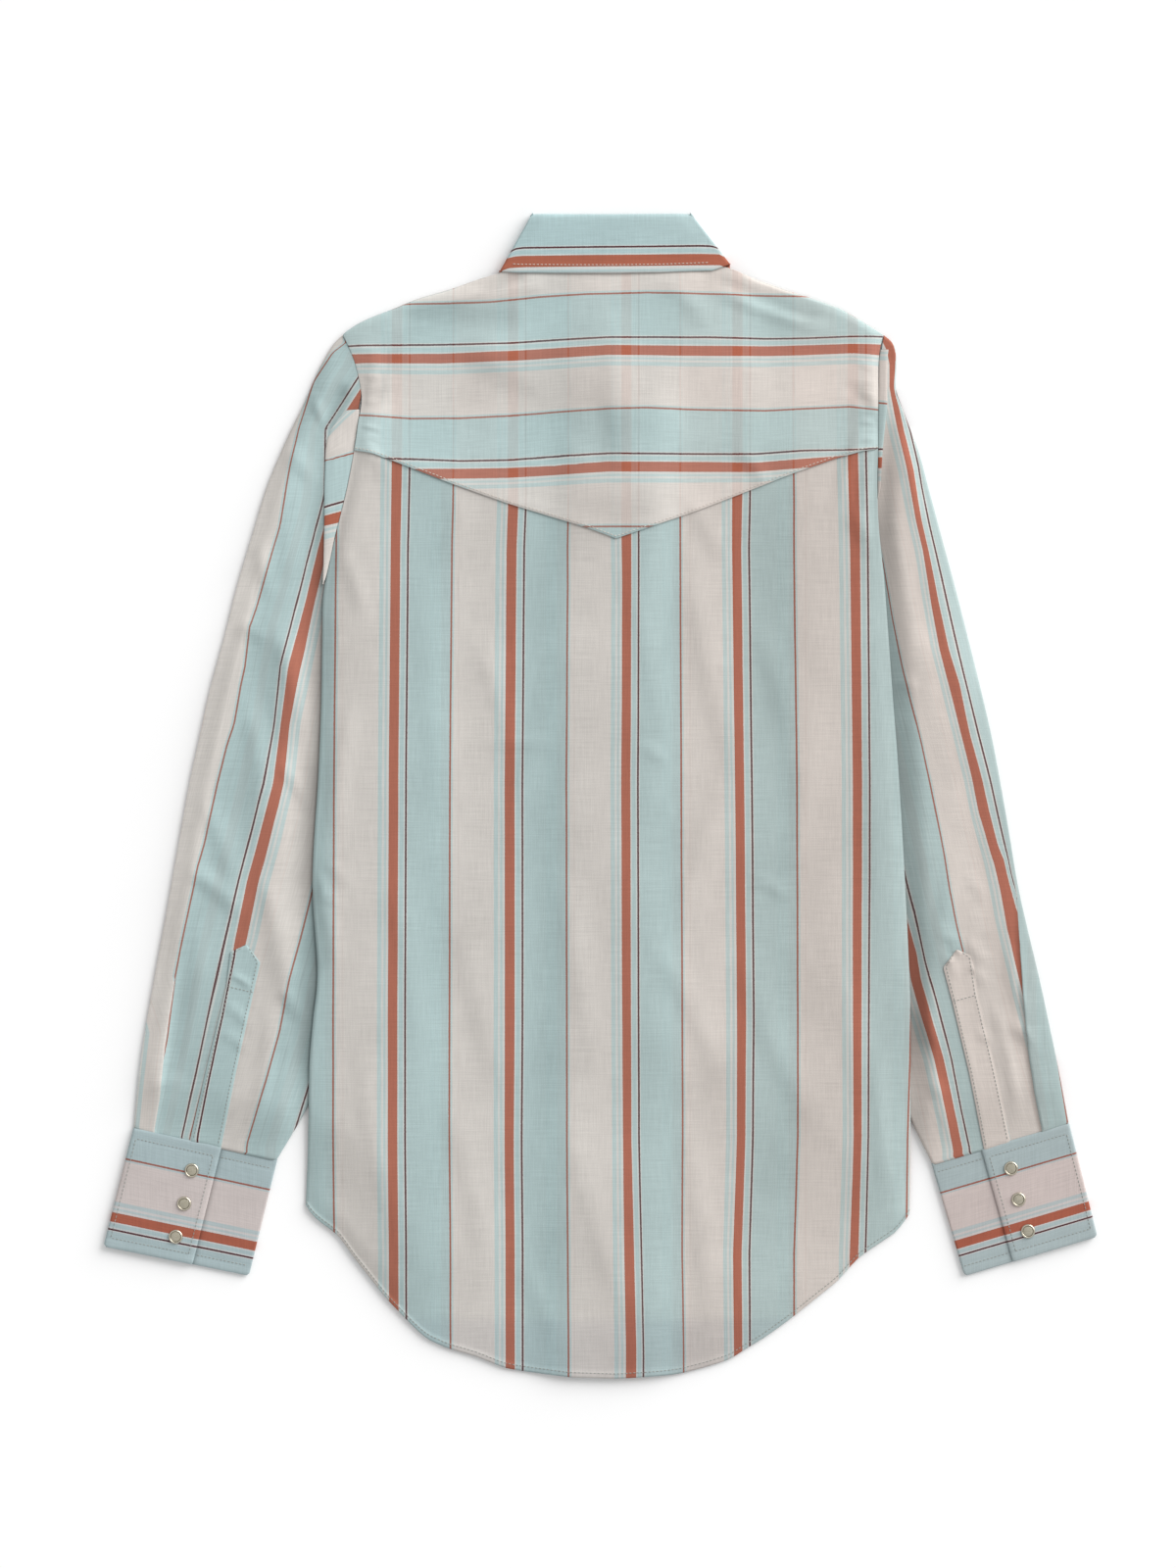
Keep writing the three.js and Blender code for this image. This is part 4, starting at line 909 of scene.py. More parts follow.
FRONTS = {
    "front_left": dict(
        ends=(0, OVERLAP[0]), shift=0, over=lambda share, t: 0, place=FRONT_SHIFT,
        flat=(0.207, 0.791), area=0.1352,
    ),
    "front_right": dict(
        ends=(OVERLAP[0], 1), shift=0, over=closing, place=FRONT_SHIFT,
        flat=(0.235, 0.793), area=0.1586,
    ),
    "front_placket": dict(
        ends=OVERLAP, shift=GAP, over=lambda share, t: -GAP, place=PLACKET_SHIFT,
        flat=(0.044, 0.712), area=0.0249,
    ),
}
for name, cut in FRONTS.items():
    grid = front_points(*cut["ends"], cut["shift"], cut["over"])
    made = cloth_piece(name + "_cloth", [sheet(grid, grid[..., 0] + cut["place"], grid[..., 1])], cloth)

# %% [markdown]
# ## Sleeves
#
# A sleeve is a flattened tube: from its outer fold over the top to the fold under the body, and back
# underneath. The air left in it lifts the top a little, most of all beside the outer fold, so that
# edge is a soft roll. Near the cuff the fullness is laid into a pleat: a step where the stripes jump.

# %% Sleeve lines
SLEEVE_LEFT = np.array([
    # outer fold x and y, inner fold x and y
    (-184.4, 329.6, -171.1, 285.5), (-191.6, 321.9, -173.5, 272.2), (-201.4, 304.4, -176.4, 250.5),
    (-211.9, 280.6, -172.7, 229.5), (-223.1, 257.5, -169.2, 206.4), (-237.8, 222.5, -165.7, 175.6),
    (-249.0, 186.1, -163.6, 142.0), (-259.5, 151.1, -162.9, 107.0), (-268.6, 114.7, -162.9, 73.4),
    (-278.4, 79.0, -162.9, 39.1), (-286.1, 44.7, -163.6, 5.5), (-293.8, 9.0, -165.0, -26.0),
    (-300.1, -26.0, -167.1, -57.5), (-305.7, -57.5, -171.3, -85.5), (-311.3, -89.0, -176.9, -113.5),
    (-317.2, -120.5, -183.2, -141.5), (-322.8, -152.0, -190.9, -169.5), (-327.4, -180.0, -199.3, -197.5),
    (-331.0, -209.4, -210.5, -224.1), (-333.4, -235.9, -230.8, -258.5),
])
SLEEVE_RIGHT = np.array([
    # outer fold x and y, inner fold x and y
    (202.5, 329.6, 199.4, 312.1), (209.5, 322.6, 199.2, 300.9), (211.3, 311.4, 199.0, 286.2),
    (210.9, 292.5, 193.4, 263.8), (215.8, 277.1, 187.1, 240.0), (227.0, 247.0, 179.4, 216.9),
    (234.7, 219.0, 173.8, 185.4), (243.1, 187.5, 171.0, 149.0), (252.9, 151.1, 169.6, 114.0),
    (262.0, 115.4, 171.0, 79.0), (271.1, 79.0, 173.8, 44.0), (279.5, 42.6, 177.3, 9.0),
    (286.5, 5.5, 181.5, -26.0), (292.5, -29.5, 186.4, -61.0), (298.4, -64.5, 191.3, -96.0),
    (305.8, -97.4, 196.2, -127.5), (313.8, -131.0, 202.5, -159.0), (320.8, -163.9, 209.5, -188.4),
    (327.8, -197.5, 218.6, -223.4), (334.4, -232.6, 236.6, -261.4),
])
COVER_LEFT = np.array([
    # y, and the x of the edge of what lies on the sleeve there
    (329.6, -183.9), (310, -175), (290, -171.5), (276, -181), (268.7, -188), (259.6, -193.7), (248, -196),
    (215, -197), (166, -198), (149, -197.5), (114, -198.8), (68, -199.5), (16, -201.4), (-60, -205.6),
    (-124, -202.1), (-159, -205.2), (-190, -207.7), (-224, -208.4), (-260, -209.1),
])[::-1]
COVER_RIGHT = np.array([
    # y, and the x of the edge of what lies on the sleeve there
    (329.6, 201.8), (319, 205.8), (300, 205), (280, 204.6), (268, 203.6), (248, 201.5), (221, 200),
    (192, 199.4), (156, 202.7), (119, 205.5), (70.6, 209), (19.5, 212.9), (-56, 217.4), (-131, 220.9),
    (-167, 221.6), (-241, 221.6), (-262, 221.6),
])[::-1]
SLEEVE_LINES_LEFT = [
    line(62, [(353, 350), (340, 360), (320, 390), (305, 440), (296, 480), (287, 537), (280, 560),
              (263, 620), (256, 640), (251.5, 680), (247, 700), (240, 740), (233, 760), (223, 800),
              (210, 860), (203, 884), (200, 900), (187, 960), (180, 996), (172, 1060), (163, 1100),
              (150, 1160)]),
    line(17.3, [(374, 372), (364, 388), (332, 437), (331.5, 505), (323, 537), (317, 560), (302, 620),
                (287, 680), (281, 740), (270, 800), (254.5, 860), (244, 900), (230, 960), (221, 1000),
                (207.5, 1060), (199, 1100), (185.5, 1160)]),
    line(9.5, [(384, 372), (374, 388), (342, 437), (340, 505), (331.5, 537), (325, 560), (311, 620),
               (295, 680), (287, 740), (280, 800), (264, 860), (253, 900), (241, 960), (235, 1000),
               (220.5, 1060), (209.5, 1100), (193.5, 1160)]),
    line(0, [(398, 372), (388, 388), (352, 437), (350, 505), (340, 537), (334, 560), (320, 620),
             (308, 680), (296, 740), (290.5, 800), (276, 860), (265, 900), (253, 960), (241, 1000),
             (227, 1060), (218, 1100), (204, 1160)]),
    line(-56, [(450, 372), (420, 437), (394, 537), (386, 560), (370, 640), (351, 740), (332, 860),
               (320, 905), (306.5, 960), (296, 1000), (286, 1053), (273, 1100), (252, 1168)]),
]
PLEAT_LINES_LEFT = [
    line(106.5, [(100, 900), (133, 996), (146, 1030), (153.5, 1053), (146, 1119), (142.5, 1152),
                 (140, 1180)]),
    line(62, [(200, 900), (180, 996), (190.5, 1030), (198, 1053), (190.5, 1119), (187, 1152),
              (184, 1180)]),
]
SLEEVE_LINES_RIGHT = [
    line(9.5, [(874, 700), (893, 800), (914, 900), (935, 973), (939, 1000), (950, 1040), (962, 1080),
               (975, 1140), (982, 1173)]),
    line(17.3, [(880, 700), (902, 800), (923, 892), (933, 930), (943, 980), (956.7, 1027), (970, 1080),
                (980, 1133), (989, 1172)]),
    line(62, [(846, 340), (858, 400), (880, 490), (901.7, 580), (910, 630), (920, 680), (930, 720),
              (940, 760), (948, 797), (958, 847), (963, 873), (968, 907), (975, 943), (981, 968),
              (996, 1030), (1018, 1120), (1030, 1170)]),
    line(118, [(897, 340), (901, 350), (905, 358), (907.5, 372), (907.5, 395), (912, 420), (916, 440),
               (925, 480), (934, 530), (941.7, 563), (949, 613), (957.7, 663), (966.7, 697), (979, 747),
               (991.7, 797), (998, 830), (1006.7, 860), (1013, 880), (1019, 907), (1025, 940),
               (1032.7, 973), (1043, 1017), (1058, 1073), (1073, 1117), (1086, 1152)]),
    line(127.5, [(905, 340), (912, 353), (914.3, 362), (912, 395), (918, 420), (922, 440), (931.7, 480),
                 (939, 530), (946.7, 563), (956, 613), (967, 663), (978, 697), (988, 747),
                 (1001.7, 797), (1009, 830), (1017, 860), (1025, 880), (1033, 907), (1040, 940),
                 (1042.5, 973), (1053, 1017), (1068, 1073), (1083, 1117), (1096, 1152)]),
    line(135.3, [(915, 340), (914.5, 402), (922, 419), (928.5, 440), (936.7, 477), (940, 498),
                 (948, 537), (960, 588), (971.7, 640), (983, 690), (995, 738), (1010, 797), (1024, 860),
                 (1031.7, 895), (1040, 920), (1050, 973), (1060, 1017), (1076, 1073), (1091, 1117),
                 (1104, 1152)]),
]
PLEAT_LINES_RIGHT = [
    line(135.3, [(1031.7, 895), (1036, 912), (1034, 960), (1031, 1017), (1032, 1067), (1037, 1103),
                 (1044, 1145)]),
    line(180, [(1077.5, 895), (1080, 912), (1078, 960), (1076, 1017), (1077, 1067), (1082, 1103),
               (1089, 1145)]),
]
PLEAT_LEFT = from_picture([(200, 900), (187, 960), (180, 996), (170, 1060), (164, 1119), (158, 1152),
                           (154, 1180)])
PLEAT_RIGHT = from_picture([(1025, 860), (1033, 895), (1037, 912), (1040.7, 973), (1043, 1017),
                            (1048, 1073), (1055, 1117), (1062.7, 1152), (1068, 1180)])
CREASES_LEFT = [
    # x0, y0, x1, y1, half width, height, bow
    (-214, 292, -196, 262, 5, 1.6, 2), (-232, 250, -206, 226, 7, 1.6, 2),
    (-193, 262, -181, 290, 7, -3.2, 0), (-232, 118, -210, 36, 10, 2.6, 3),
    (-262, 122, -238, 112, 4, 2.2, 1), (-252, 190, -236, 140, 8, 1.6, 2),
    (-225, 20, -205, -19, 5, 2.6, 2), (-250, 60, -246, -20, 9, 1.8, 4),
    (-280, -10, -262, -70, 9, 1.8, 3), (-291, -55, -258, -84, 8, 2.4, 3),
    (-240, -60, -232, -130, 7, 1.8, 3), (-222, -90, -222, -150, 6, 2.4, -2),
    (-226, -138, -216, -160, 4, 2.4, 1), (-236, -160, -246, -228, 5, 1.8, 2),
    (-222, -166, -232, -236, 5, 2.0, 2), (-286, -100, -300, -200, 7, 1.8, 2),
    (-262, -128, -250, -136, 3, 1.2, 1), (-266, -150, -252, -162, 3, 1.4, 1),
    (-268, -170, -254, -180, 3, 1.2, 1), (-214, -196, -226, -240, 3, 1.6, 1),
    (-300, -200, -322, -206, 4, 1.2, 1),
]
CREASES_RIGHT = [
    # x0, y0, x1, y1, half width, height, bow
    (212, 262, 224, 200, 4, 1.6, 2), (206, 240, 214, 150, 5, 1.4, -3), (210, 82, 224, 76, 4, 2.2, 1),
    (222, 130, 240, 20, 9, 0.9, 3), (204, 60, 216, -10, 5, 1.4, -3), (244, 60, 262, -40, 9, 0.7, -3),
    (262, -58, 273, -75, 4, 1.0, 1), (244, -96, 256, -112, 4, 1.8, 1),
    (245, -112, 252, -128, 3, 1.4, 1), (262, -102, 274, -118, 4, 2.2, -2),
    (264, -122, 276, -136, 3, 1.4, 1), (280, -150, 296, -224, 5, 1.8, 2),
    (292, -164, 308, -175, 5, 2.4, 1), (292, -110, 300, -150, 5, 1.6, -2),
    (222, -150, 234, -176, 6, 2.2, 2), (226, -120, 236, -190, 5, 1.8, 2),
    (272, 30, 288, -40, 7, 0.5, 2), (236, -196, 248, -244, 4, 1.8, 1),
    (250, -60, 240, -120, 6, 1.4, -2), (268, -170, 280, -176, 3, 1.2, 1),
    (230, -206, 246, -214, 4, 1.4, 1),
]
SHADES_LEFT = [
    # x0, y0, x1, y1, half width, change of tone: below 0 painted shade, above 0 painted light
    (-193, 265, -184, 290, 6, -0.2), (-246, 118, -228, 44, 10, -0.17), (-214, 16, -206, -10, 6, -0.08),
    (-210, 90, -226, -60, 9, -0.05), (-206, 20, -214, -60, 7, -0.06),
    (-204, -110, -208, -190, 13, -0.09), (-244, 20, -262, -60, 9, -0.03),
    (-213, -24, -222, -76, 9, -0.06), (-300, -140, -318, -220, 8, -0.04),
    (-262, -130, -264, -170, 10, -0.10), (-286, -135, -292, -192, 10, -0.13),
]
SHADES_RIGHT = [
    # x0, y0, x1, y1, half width, change of tone: below 0 painted shade, above 0 painted light
    (214, 196, 228, 110, 10, 0.07), (228, 110, 242, 20, 10, 0.07), (250, 0, 272, -90, 10, 0.12),
    (204, 262, 207, 190, 5, -0.07), (264, -176, 276, -190, 10, -0.06), (224, -156, 234, -176, 5, -0.12),
]
HEAD_LEFT = np.array([
    # armhole x and y, fold x and y
    (-172.7, 276.4, -181.2, 275.7), (-173.0, 270.1, -188.1, 268.7), (-174.4, 259.6, -193.7, 259.6),
    (-176.2, 247.0, -196.1, 248.4), (-179.0, 233.0, -196.8, 233.0), (-182.5, 215.5, -197.2, 215.5),
    (-187.3, 195.9, -197.2, 198.0), (-190.0, 185.4, -197.4, 182.6), (-193.4, 168.6, -197.8, 166.5),
    (-195.9, 157.4, -198.2, 156.4), (-198.0, 151.5, -198.1, 151.5),
])
HEAD_RIGHT = np.array([
    # armhole x and y, fold x and y
    (200.2, 319.0, 205.8, 319.4), (199.2, 311.0, 204.9, 311.0), (199.0, 297.0, 204.8, 297.0),
    (198.7, 280.0, 204.6, 280.0), (198.5, 266.6, 203.6, 268.0), (198.4, 247.7, 201.5, 247.7),
    (198.1, 233.0, 200.6, 233.0), (198.0, 221.1, 200.0, 221.1), (198.0, 213.0, 198.1, 213.0),
])
HEAD_LINES_LEFT = [
    line(-56, [(331, 612), (351, 604)], False),
    line(-11, [(331, 551), (345, 547), (368, 540)], False),
    line(0, [(331, 537), (349, 533), (368, 529)], False),
    line(9.5, [(331, 527), (349, 522), (368, 517)], False),
    line(17.3, [(331, 518), (351, 512), (368, 507)], False),
    line(62, [(332, 470), (360, 463), (370, 461)], False),
    line(107, [(332, 450), (340, 441), (352, 429), (366, 416)], False),
    line(117.5, [(332, 440), (340, 432), (352, 420), (366, 408)], False),
]
HEAD_LINES_RIGHT = [
    line(-11, [(890, 491), (908, 491)], False),
    line(0, [(890, 478), (908, 478)], False),
    line(9.5, [(890, 467), (908, 467)], False),
    line(17.3, [(890, 459), (908, 459)], False),
    line(62, [(890, 411), (908, 413)], False),
    line(118, [(890, 357), (908, 357)], False),
]
print("sleeve stations:", len(SLEEVE_LEFT), len(SLEEVE_RIGHT))

# %% [markdown]
# ## One record for each sleeve
#
# The two sleeves are folded differently, so each has a record of its own sizes, and one set of
# functions makes both. The record says where the cuff begins and how it slopes, where the sleeve's
# own head lies on it, how much air it holds, how it rolls at its outer fold, how much shade is
# painted beside the body (dark), and the painted light and painted shade of its head.

# %% Sleeve records
LEFT = {
    "side": -1, "stations": SLEEVE_LEFT, "bow": 4.2, "cuff": (-333.4, -235.9, -0.22),
    "lines": SLEEVE_LINES_LEFT, "creases": CREASES_LEFT, "shades": SHADES_LEFT, "cover": COVER_LEFT,
    "pleat": PLEAT_LEFT, "pleat_lines": PLEAT_LINES_LEFT, "pleat_start": 2, "pleat_height": 0.4,
    "roll": (-3, 15), "air_reach": 30, "more_air": 2.0, "dark": 0.36, "body_shadow_reach": 10,
    "head": HEAD_LEFT, "head_lines": HEAD_LINES_LEFT, "head_rows": (150, 168, 258, 276),
    "head_fall": 0.55, "head_lift": 0.7, "head_light_factor": 1.1, "head_shadow": 0.0,
    "flat": (0.280, 0.588), "area": 0.1223,
}
RIGHT = {
    "side": 1, "stations": SLEEVE_RIGHT, "bow": 0.0, "cuff": (236.6, -261.4, 0.294),
    "lines": SLEEVE_LINES_RIGHT, "creases": CREASES_RIGHT, "shades": SHADES_RIGHT, "cover": COVER_RIGHT,
    "pleat": PLEAT_RIGHT, "pleat_lines": PLEAT_LINES_RIGHT, "pleat_start": 1, "pleat_height": 0.9,
    "roll": (-5, 18), "air_reach": 16, "more_air": 0.0, "dark": 0.28, "body_shadow_reach": 6,
    "head": HEAD_RIGHT, "head_lines": HEAD_LINES_RIGHT, "head_rows": (221, 240, 300, 318),
    "head_fall": 1.0, "head_lift": 0.0, "head_light_factor": 0.98, "head_shadow": 0.22,
    "flat": (0.230, 0.591), "area": 0.1014,
}
print("sleeve records:", len(LEFT), "values each")

# %% [markdown]
# ## Air, tone and pleat
#
# A flat sleeve still holds some air, so its top stands a few millimetres above the fold, and less
# where something lies on it or where the cuff holds it down. A simulation with a little pressure
# could blow it up, but the folds of this sleeve have their own places, so its height is a sum of
# soft steps.


# %% Height, tone and pleat of a sleeve
def beyond_body(sleeve, x, y):
    """How far a point is outside the edge of what lies on the sleeve, in mm."""
    cover = sleeve["cover"]
    return sleeve["side"] * (x - np.interp(y, cover[:, 0], cover[:, 1]))


def sleeve_lift(sleeve, x, y):
    """How far the top of a sleeve stands off its folded height: air, waves and creases, all of which
    fade out where the body covers it and at the cuff. Where the sleeve's own head lies on it, the air
    is replaced by a small lift that ends at the head's fold."""
    out = beyond_body(sleeve, x, y)
    cuff_x, cuff_y, cuff_slope = sleeve["cuff"]
    above = y - (cuff_y + (x - cuff_x) * cuff_slope)
    ends = (0.18 + 0.82 * ease(above, 0, 42)) * (1 - 0.5 * ease(y, 180, 300))
    start, full, fall, end = sleeve["head_rows"]
    head = ease(y, start, full) - sleeve["head_fall"] * ease(y, fall, end)
    air = ends * ease(out, 1, sleeve["air_reach"]) * (4.4 + 3.2 * waves(1.4 * x, y))
    air += sleeve["more_air"] * ease(out, 1, 24) * hump(y - 0.2 * x, -180, -120, 120, 200)
    folds = ease(out, 1, 14) * ease(above, 0, 16) * ridges(x, y, sleeve["creases"])
    return air + folds + 1.5 * head * ease(out, -7, -1)


def sleeve_light_and_shade(sleeve, x, y, fold):
    """Painted shade and painted light on a sleeve: painted shade beside the body that lies on it, most
    of all low down, and the painted shade and light of its folds. Along the outer fold the left sleeve,
    one thin layer on white, gets painted light, and the right one gets painted shade."""
    out = np.maximum(beyond_body(sleeve, x, y), 0)
    # Painted shade where the body lies on the sleeve and shades it.
    reach = sleeve["body_shadow_reach"] + 10 * ease(-y, 20, 150) - 8 * ease(-y, 170, 215)
    deep = sleeve["dark"] * bell(out, reach) * (1 - ease(y, 180, 240))
    deep = deep * (1 - 0.6 * ease(-y, 170, 215))
    # Painted light along the left sleeve's outer fold, painted shade along the right one's.
    if sleeve is LEFT:
        rim = (0.13 * bell(fold, 30) + 0.24 * bell(fold, 12)) * hump(y, -250, -180, 170, 290)
    else:
        rim = -0.2 * bell(fold, 16) * ease(-y, -150, 60)
    return shades(x, y, sleeve["shades"]) - deep + rim


def pleat_x(sleeve, y):
    """Where the pleat's fold runs at a height y."""
    pleat = sleeve["pleat"]
    return np.interp(y, pleat[::-1, 1], pleat[::-1, 0])


def pleat_step(sleeve, x, y):
    """The pleat's outer part lies on top, from nothing at its start to its full height above the cuff."""
    start = sleeve["pleat"][1, 1]
    outside = sleeve["side"] * (x - pleat_x(sleeve, y)) > 0
    return sleeve["pleat_height"] * ease(-y, -start, -start + 110) * outside


def sleeve_place(sleeve, x, y):
    """Place in the repeat on a sleeve: its own lines, or the shifted ones on the outer side of the
    pleat."""
    outside = sleeve["side"] * (x - pleat_x(sleeve, y)) > 0
    below = y < sleeve["pleat"][sleeve["pleat_start"], 1]
    shifted = stripe_place(y, x, sleeve["pleat_lines"])
    return np.where(outside & below, shifted, stripe_place(y, x, sleeve["lines"]))


# %% [markdown]
# ## The sleeves' surfaces
#
# The tube is one ring of columns, so it closes at both folds. Its columns stand close together at the
# folds and at the pleat, where a pair of them lets the stripes jump. The head of the sleeve is a
# second sheet that lies on the tube beside the armhole.

# %% Sleeve surfaces
def sleeve_columns(sleeve, outer_x, outer_y, inner_x, inner_y, width):
    """Shares of each station's line, from the outer fold to the inner one: columns at fixed distances
    from both folds, even ones between them, and a pair 0.24 mm apart at the pleat."""
    dense = np.linspace(0, 1, 600)[None, :]
    fold_x = pleat_x(sleeve, lerp(outer_y, inner_y, dense))
    at = dense[0][np.argmin(np.abs(lerp(outer_x, inner_x, dense) - fold_x), axis=1)][:, None]
    beside_y = lerp(outer_y, inner_y, 0.1)[:, 0]
    start = int(np.argmin(np.abs(beside_y - sleeve["pleat"][sleeve["pleat_start"], 1])))
    at[:start] = at[start]
    at = np.clip(at, 0.025, 0.45)
    slit = 0.12 / width
    near = np.array([[0.0, 0.35, 1.0, 2.2, 4.0, 6.5]])
    squeezed = near * np.minimum(1, (at - slit) * width / 8)
    last = squeezed[:, -1:] / width
    to_pleat = lerp(last, at - slit, np.linspace(0, 1, 8)[None, 1:-1])
    from_pleat = lerp(at + slit, 1 - 2.0 / width, np.linspace(0, 1, 26)[None, 1:])
    to_fold = 1 - near[:, 2::-1] / width
    return np.concatenate([squeezed / width, to_pleat, at - slit, at + slit, from_pleat, to_fold], axis=1)


def two_lines(table, t):
    """The two points of a table's rows at row numbers t, on smooth lines through the rows, measured from
    the part's origin."""
    return [through(table[:, k], t) - MIDDLE[k % 2] for k in range(4)]


def sleeve_sheet(sleeve):
    """The tube's top from the outer fold to the inner fold, then the flat underside back. Each row is a
    station's line, and the first rows bow towards the body, as the armhole does. The height is the
    folded one, rounded at both folds, plus the lift and the pleat. A last row is drawn in a little and
    runs on under the cuff."""
    stations = sleeve["stations"]
    t = np.linspace(0, len(stations) - 1, 150)[:, None]
    outer_x, outer_y, inner_x, inner_y = two_lines(stations, t)
    width = np.hypot(inner_x - outer_x, inner_y - outer_y)
    bow = sleeve["bow"] * (1 - ease(t, 0, 1.5))

    def across(share):
        bowed = lerp(outer_x, inner_x, share) + bow * 4 * share * (1 - share)
        return bowed, lerp(outer_y, inner_y, share)

    top = sleeve_columns(sleeve, outer_x, outer_y, inner_x, inner_y, width)
    x, y = across(top)
    fold = np.minimum(top * width, 30)
    puff = ease(fold, *sleeve["roll"]) * sleeve_lift(sleeve, x, y)
    puff = puff + ease(fold, -1, 5) * pleat_step(sleeve, x, y)
    z = np.minimum(0.9 + 1.4 * ease(fold, -1.2, 1.6), SLEEVE_TOP) + puff
    z = z - 0.9 * bell((1 - top) * width, 0.7)
    z[:, 0] = 1.0
    low = np.array([[1.0, 0.995, 0.9, 0.75, 0.6, 0.45, 0.3, 0.15, 0.02, 0.006]]) + 0 * width
    low_x, low_y = across(low)
    low_z = np.full(low.shape, ON_TABLE)
    low_z[:, 0] = 0.4
    place = sleeve_place(sleeve, x, y)
    low_place = place[:, :1] + low * width
    points = np.concatenate([np.stack([x, y, z], -1), np.stack([low_x, low_y, low_z], -1)], 1)
    places = np.concatenate([place, low_place], 1)
    below = np.concatenate([place - 23, low_place], 1)
    shows = np.concatenate([np.full(place.shape, 0.06), np.zeros(low.shape)], 1)
    tone = np.concatenate([sleeve_light_and_shade(sleeve, x, y, top * width), np.ones(low.shape)], 1)
    end = lerp(points[-1:], points[-1:].mean(axis=1, keepdims=True), np.array([0.04, 0.04, 0.35]))
    points = np.concatenate([points, end - (0, 2.0, 0)])
    places, below, shows, tone = (np.concatenate([a, a[-1:]]) for a in (places, below, shows, tone))
    return sheet(points, places, points[..., 1], below, shows, tone, ring=True, flip=sleeve is RIGHT)


def armhole_rise(sleeve, y):
    """Height of the body's edge along the armhole, at a given height up the body."""
    t = np.linspace(0, HEM_ROW, 600)
    edge = np.full_like(t, 0.0 if sleeve is LEFT else 1.0)
    edge_y = body_xy(edge, t)[1]
    return np.interp(-y, -edge_y, rise(edge, t))


def head_sheet(sleeve):
    """The head of the sleeve that lies on top: flat from the armhole seam to its fold, then rolled over
    and down to the sleeve below it."""
    table = sleeve["head"]
    t = np.linspace(0, len(table) - 1, 60)[:, None]
    seam_x, seam_y, fold_x, fold_y = two_lines(table, t)
    share = np.array([[-0.06, 0.03, 0.2, 0.4, 0.6, 0.8, 0.92, 0.98, 1.0, 1.0, 0.97]]) + 0 * seam_x
    drop = np.array([[0.5, 0.1, 0, -0.2, -0.25, -0.15, 0.05, 0.3, 0.7, 1.2, 2.2]])
    x, y = lerp(seam_x, fold_x, share), lerp(seam_y, fold_y, share)
    flat = armhole_rise(sleeve, seam_y) + LAYER + WALL + sleeve["head_lift"] * ease(seam_y, 258, 274)
    z = np.maximum(flat - drop, SLEEVE_TOP - 0.4)
    place = stripe_place(x, y, sleeve["head_lines"])
    # Painted light on the left head; painted shade on the right head, strongest at its lower end.
    tone = sleeve["head_light_factor"] - sleeve["head_shadow"] * (1 - ease(y, 232, 250))
    return sheet(np.stack([x, y, z], -1), place, x, tone=tone, flip=sleeve is LEFT)


for name, sleeve in (("sleeve_left", LEFT), ("sleeve_right", RIGHT)):
    made = cloth_piece(name + "_cloth", [sleeve_sheet(sleeve), head_sheet(sleeve)], cloth)

# %% [markdown]
# ## Sleeve plackets
#
# A pointed strip covers the slit above each cuff. It is stitched along its edges and across below
# the point. The left one is cut from an aqua stripe with a dark line at its edge, the right one from
# cream. It lies on the sleeve's own surface, so it takes the sleeve's height at each point.

# %% Plackets
PLACKET_LEFT = np.array([
    # one edge x and y, other edge x and y
    (-292.7, -243.4, -270.5, -248.4), (-279.0, -186.0, -258.5, -191.0), (-266.5, -135.2, -247.2, -139.7),
    (-263.7, -110.7, -242.3, -118.3), (-252.5, -105.6, -251.3, -106.0),
])
PLACKET_RIGHT = np.array([
    # one edge x and y, other edge x and y
    (273.4, -249.9, 292.4, -244.2), (262.5, -196.0, 280.8, -191.0), (250.7, -146.4, 269.0, -141.5),
    (244.2, -121.9, 265.2, -113.7), (253.4, -109.6, 254.8, -109.2),
])
DARK_LINE = from_picture([
    (201.5, 1160), (214, 1100), (227, 1040), (235, 1000), (239, 980), (240, 975), (241, 965),
])
CREAM_LINE = np.array([(283, -245), (255, -115)])
PLACKETS = {
    "sleeve_placket_left": dict(
        sleeve=LEFT, edges=PLACKET_LEFT, line=DARK_LINE, line_place=12.1, bar=-138.5, edge_shade=0.0,
        flat=(0.026, 0.143), area=0.0030,
    ),
    "sleeve_placket_right": dict(
        sleeve=RIGHT, edges=PLACKET_RIGHT, line=CREAM_LINE, line_place=58, bar=-145.5, edge_shade=0.14,
        flat=(0.024, 0.141), area=0.0027,
    ),
}
TUCK_STEPS = [-0.055, -0.04]


def placket_grid(strip):
    """A strip between two edge lines, 0.9 mm over the sleeve, with its edges rolled down. The rows before
    the first station run on along the same edges and dip, so that the strip ends under the cuff."""
    edges = strip["edges"]
    t = np.concatenate([TUCK_STEPS, np.linspace(0, 2.9, 40), np.linspace(2.95, 3.9, 12), [3.95, 3.98, 4.0]])
    t = t[:, None]
    before = np.minimum(t, 0)
    ax, ay, bx, by = (
        np.interp(t, np.arange(5), edges[:, k]) + before * (edges[1, k] - edges[0, k]) - MIDDLE[k % 2]
        for k in range(4)
    )
    share = np.array([[0, 0.02, 0.06, 0.1, 0.2, 0.35, 0.5, 0.65, 0.8, 0.9, 0.94, 0.98, 1.0]]) + 0 * ax
    x, y = lerp(ax, bx, share), lerp(ay, by, share)
    width = np.hypot(bx - ax, by - ay)
    edge = np.minimum(np.minimum(share, 1 - share) * width, (4.0 - t) * 14)
    roll = 0.3 * bell(edge, 1.0)
    z = SLEEVE_TOP + sleeve_lift(strip["sleeve"], x, y) + 0.95 - 0.5 * share - roll
    z = z + 0.15 * hump(edge, 0.3, 1, 4, 6) - 0.9 * ease(-t, 0.035, 0.055)
    return np.stack([x, y, z], -1)


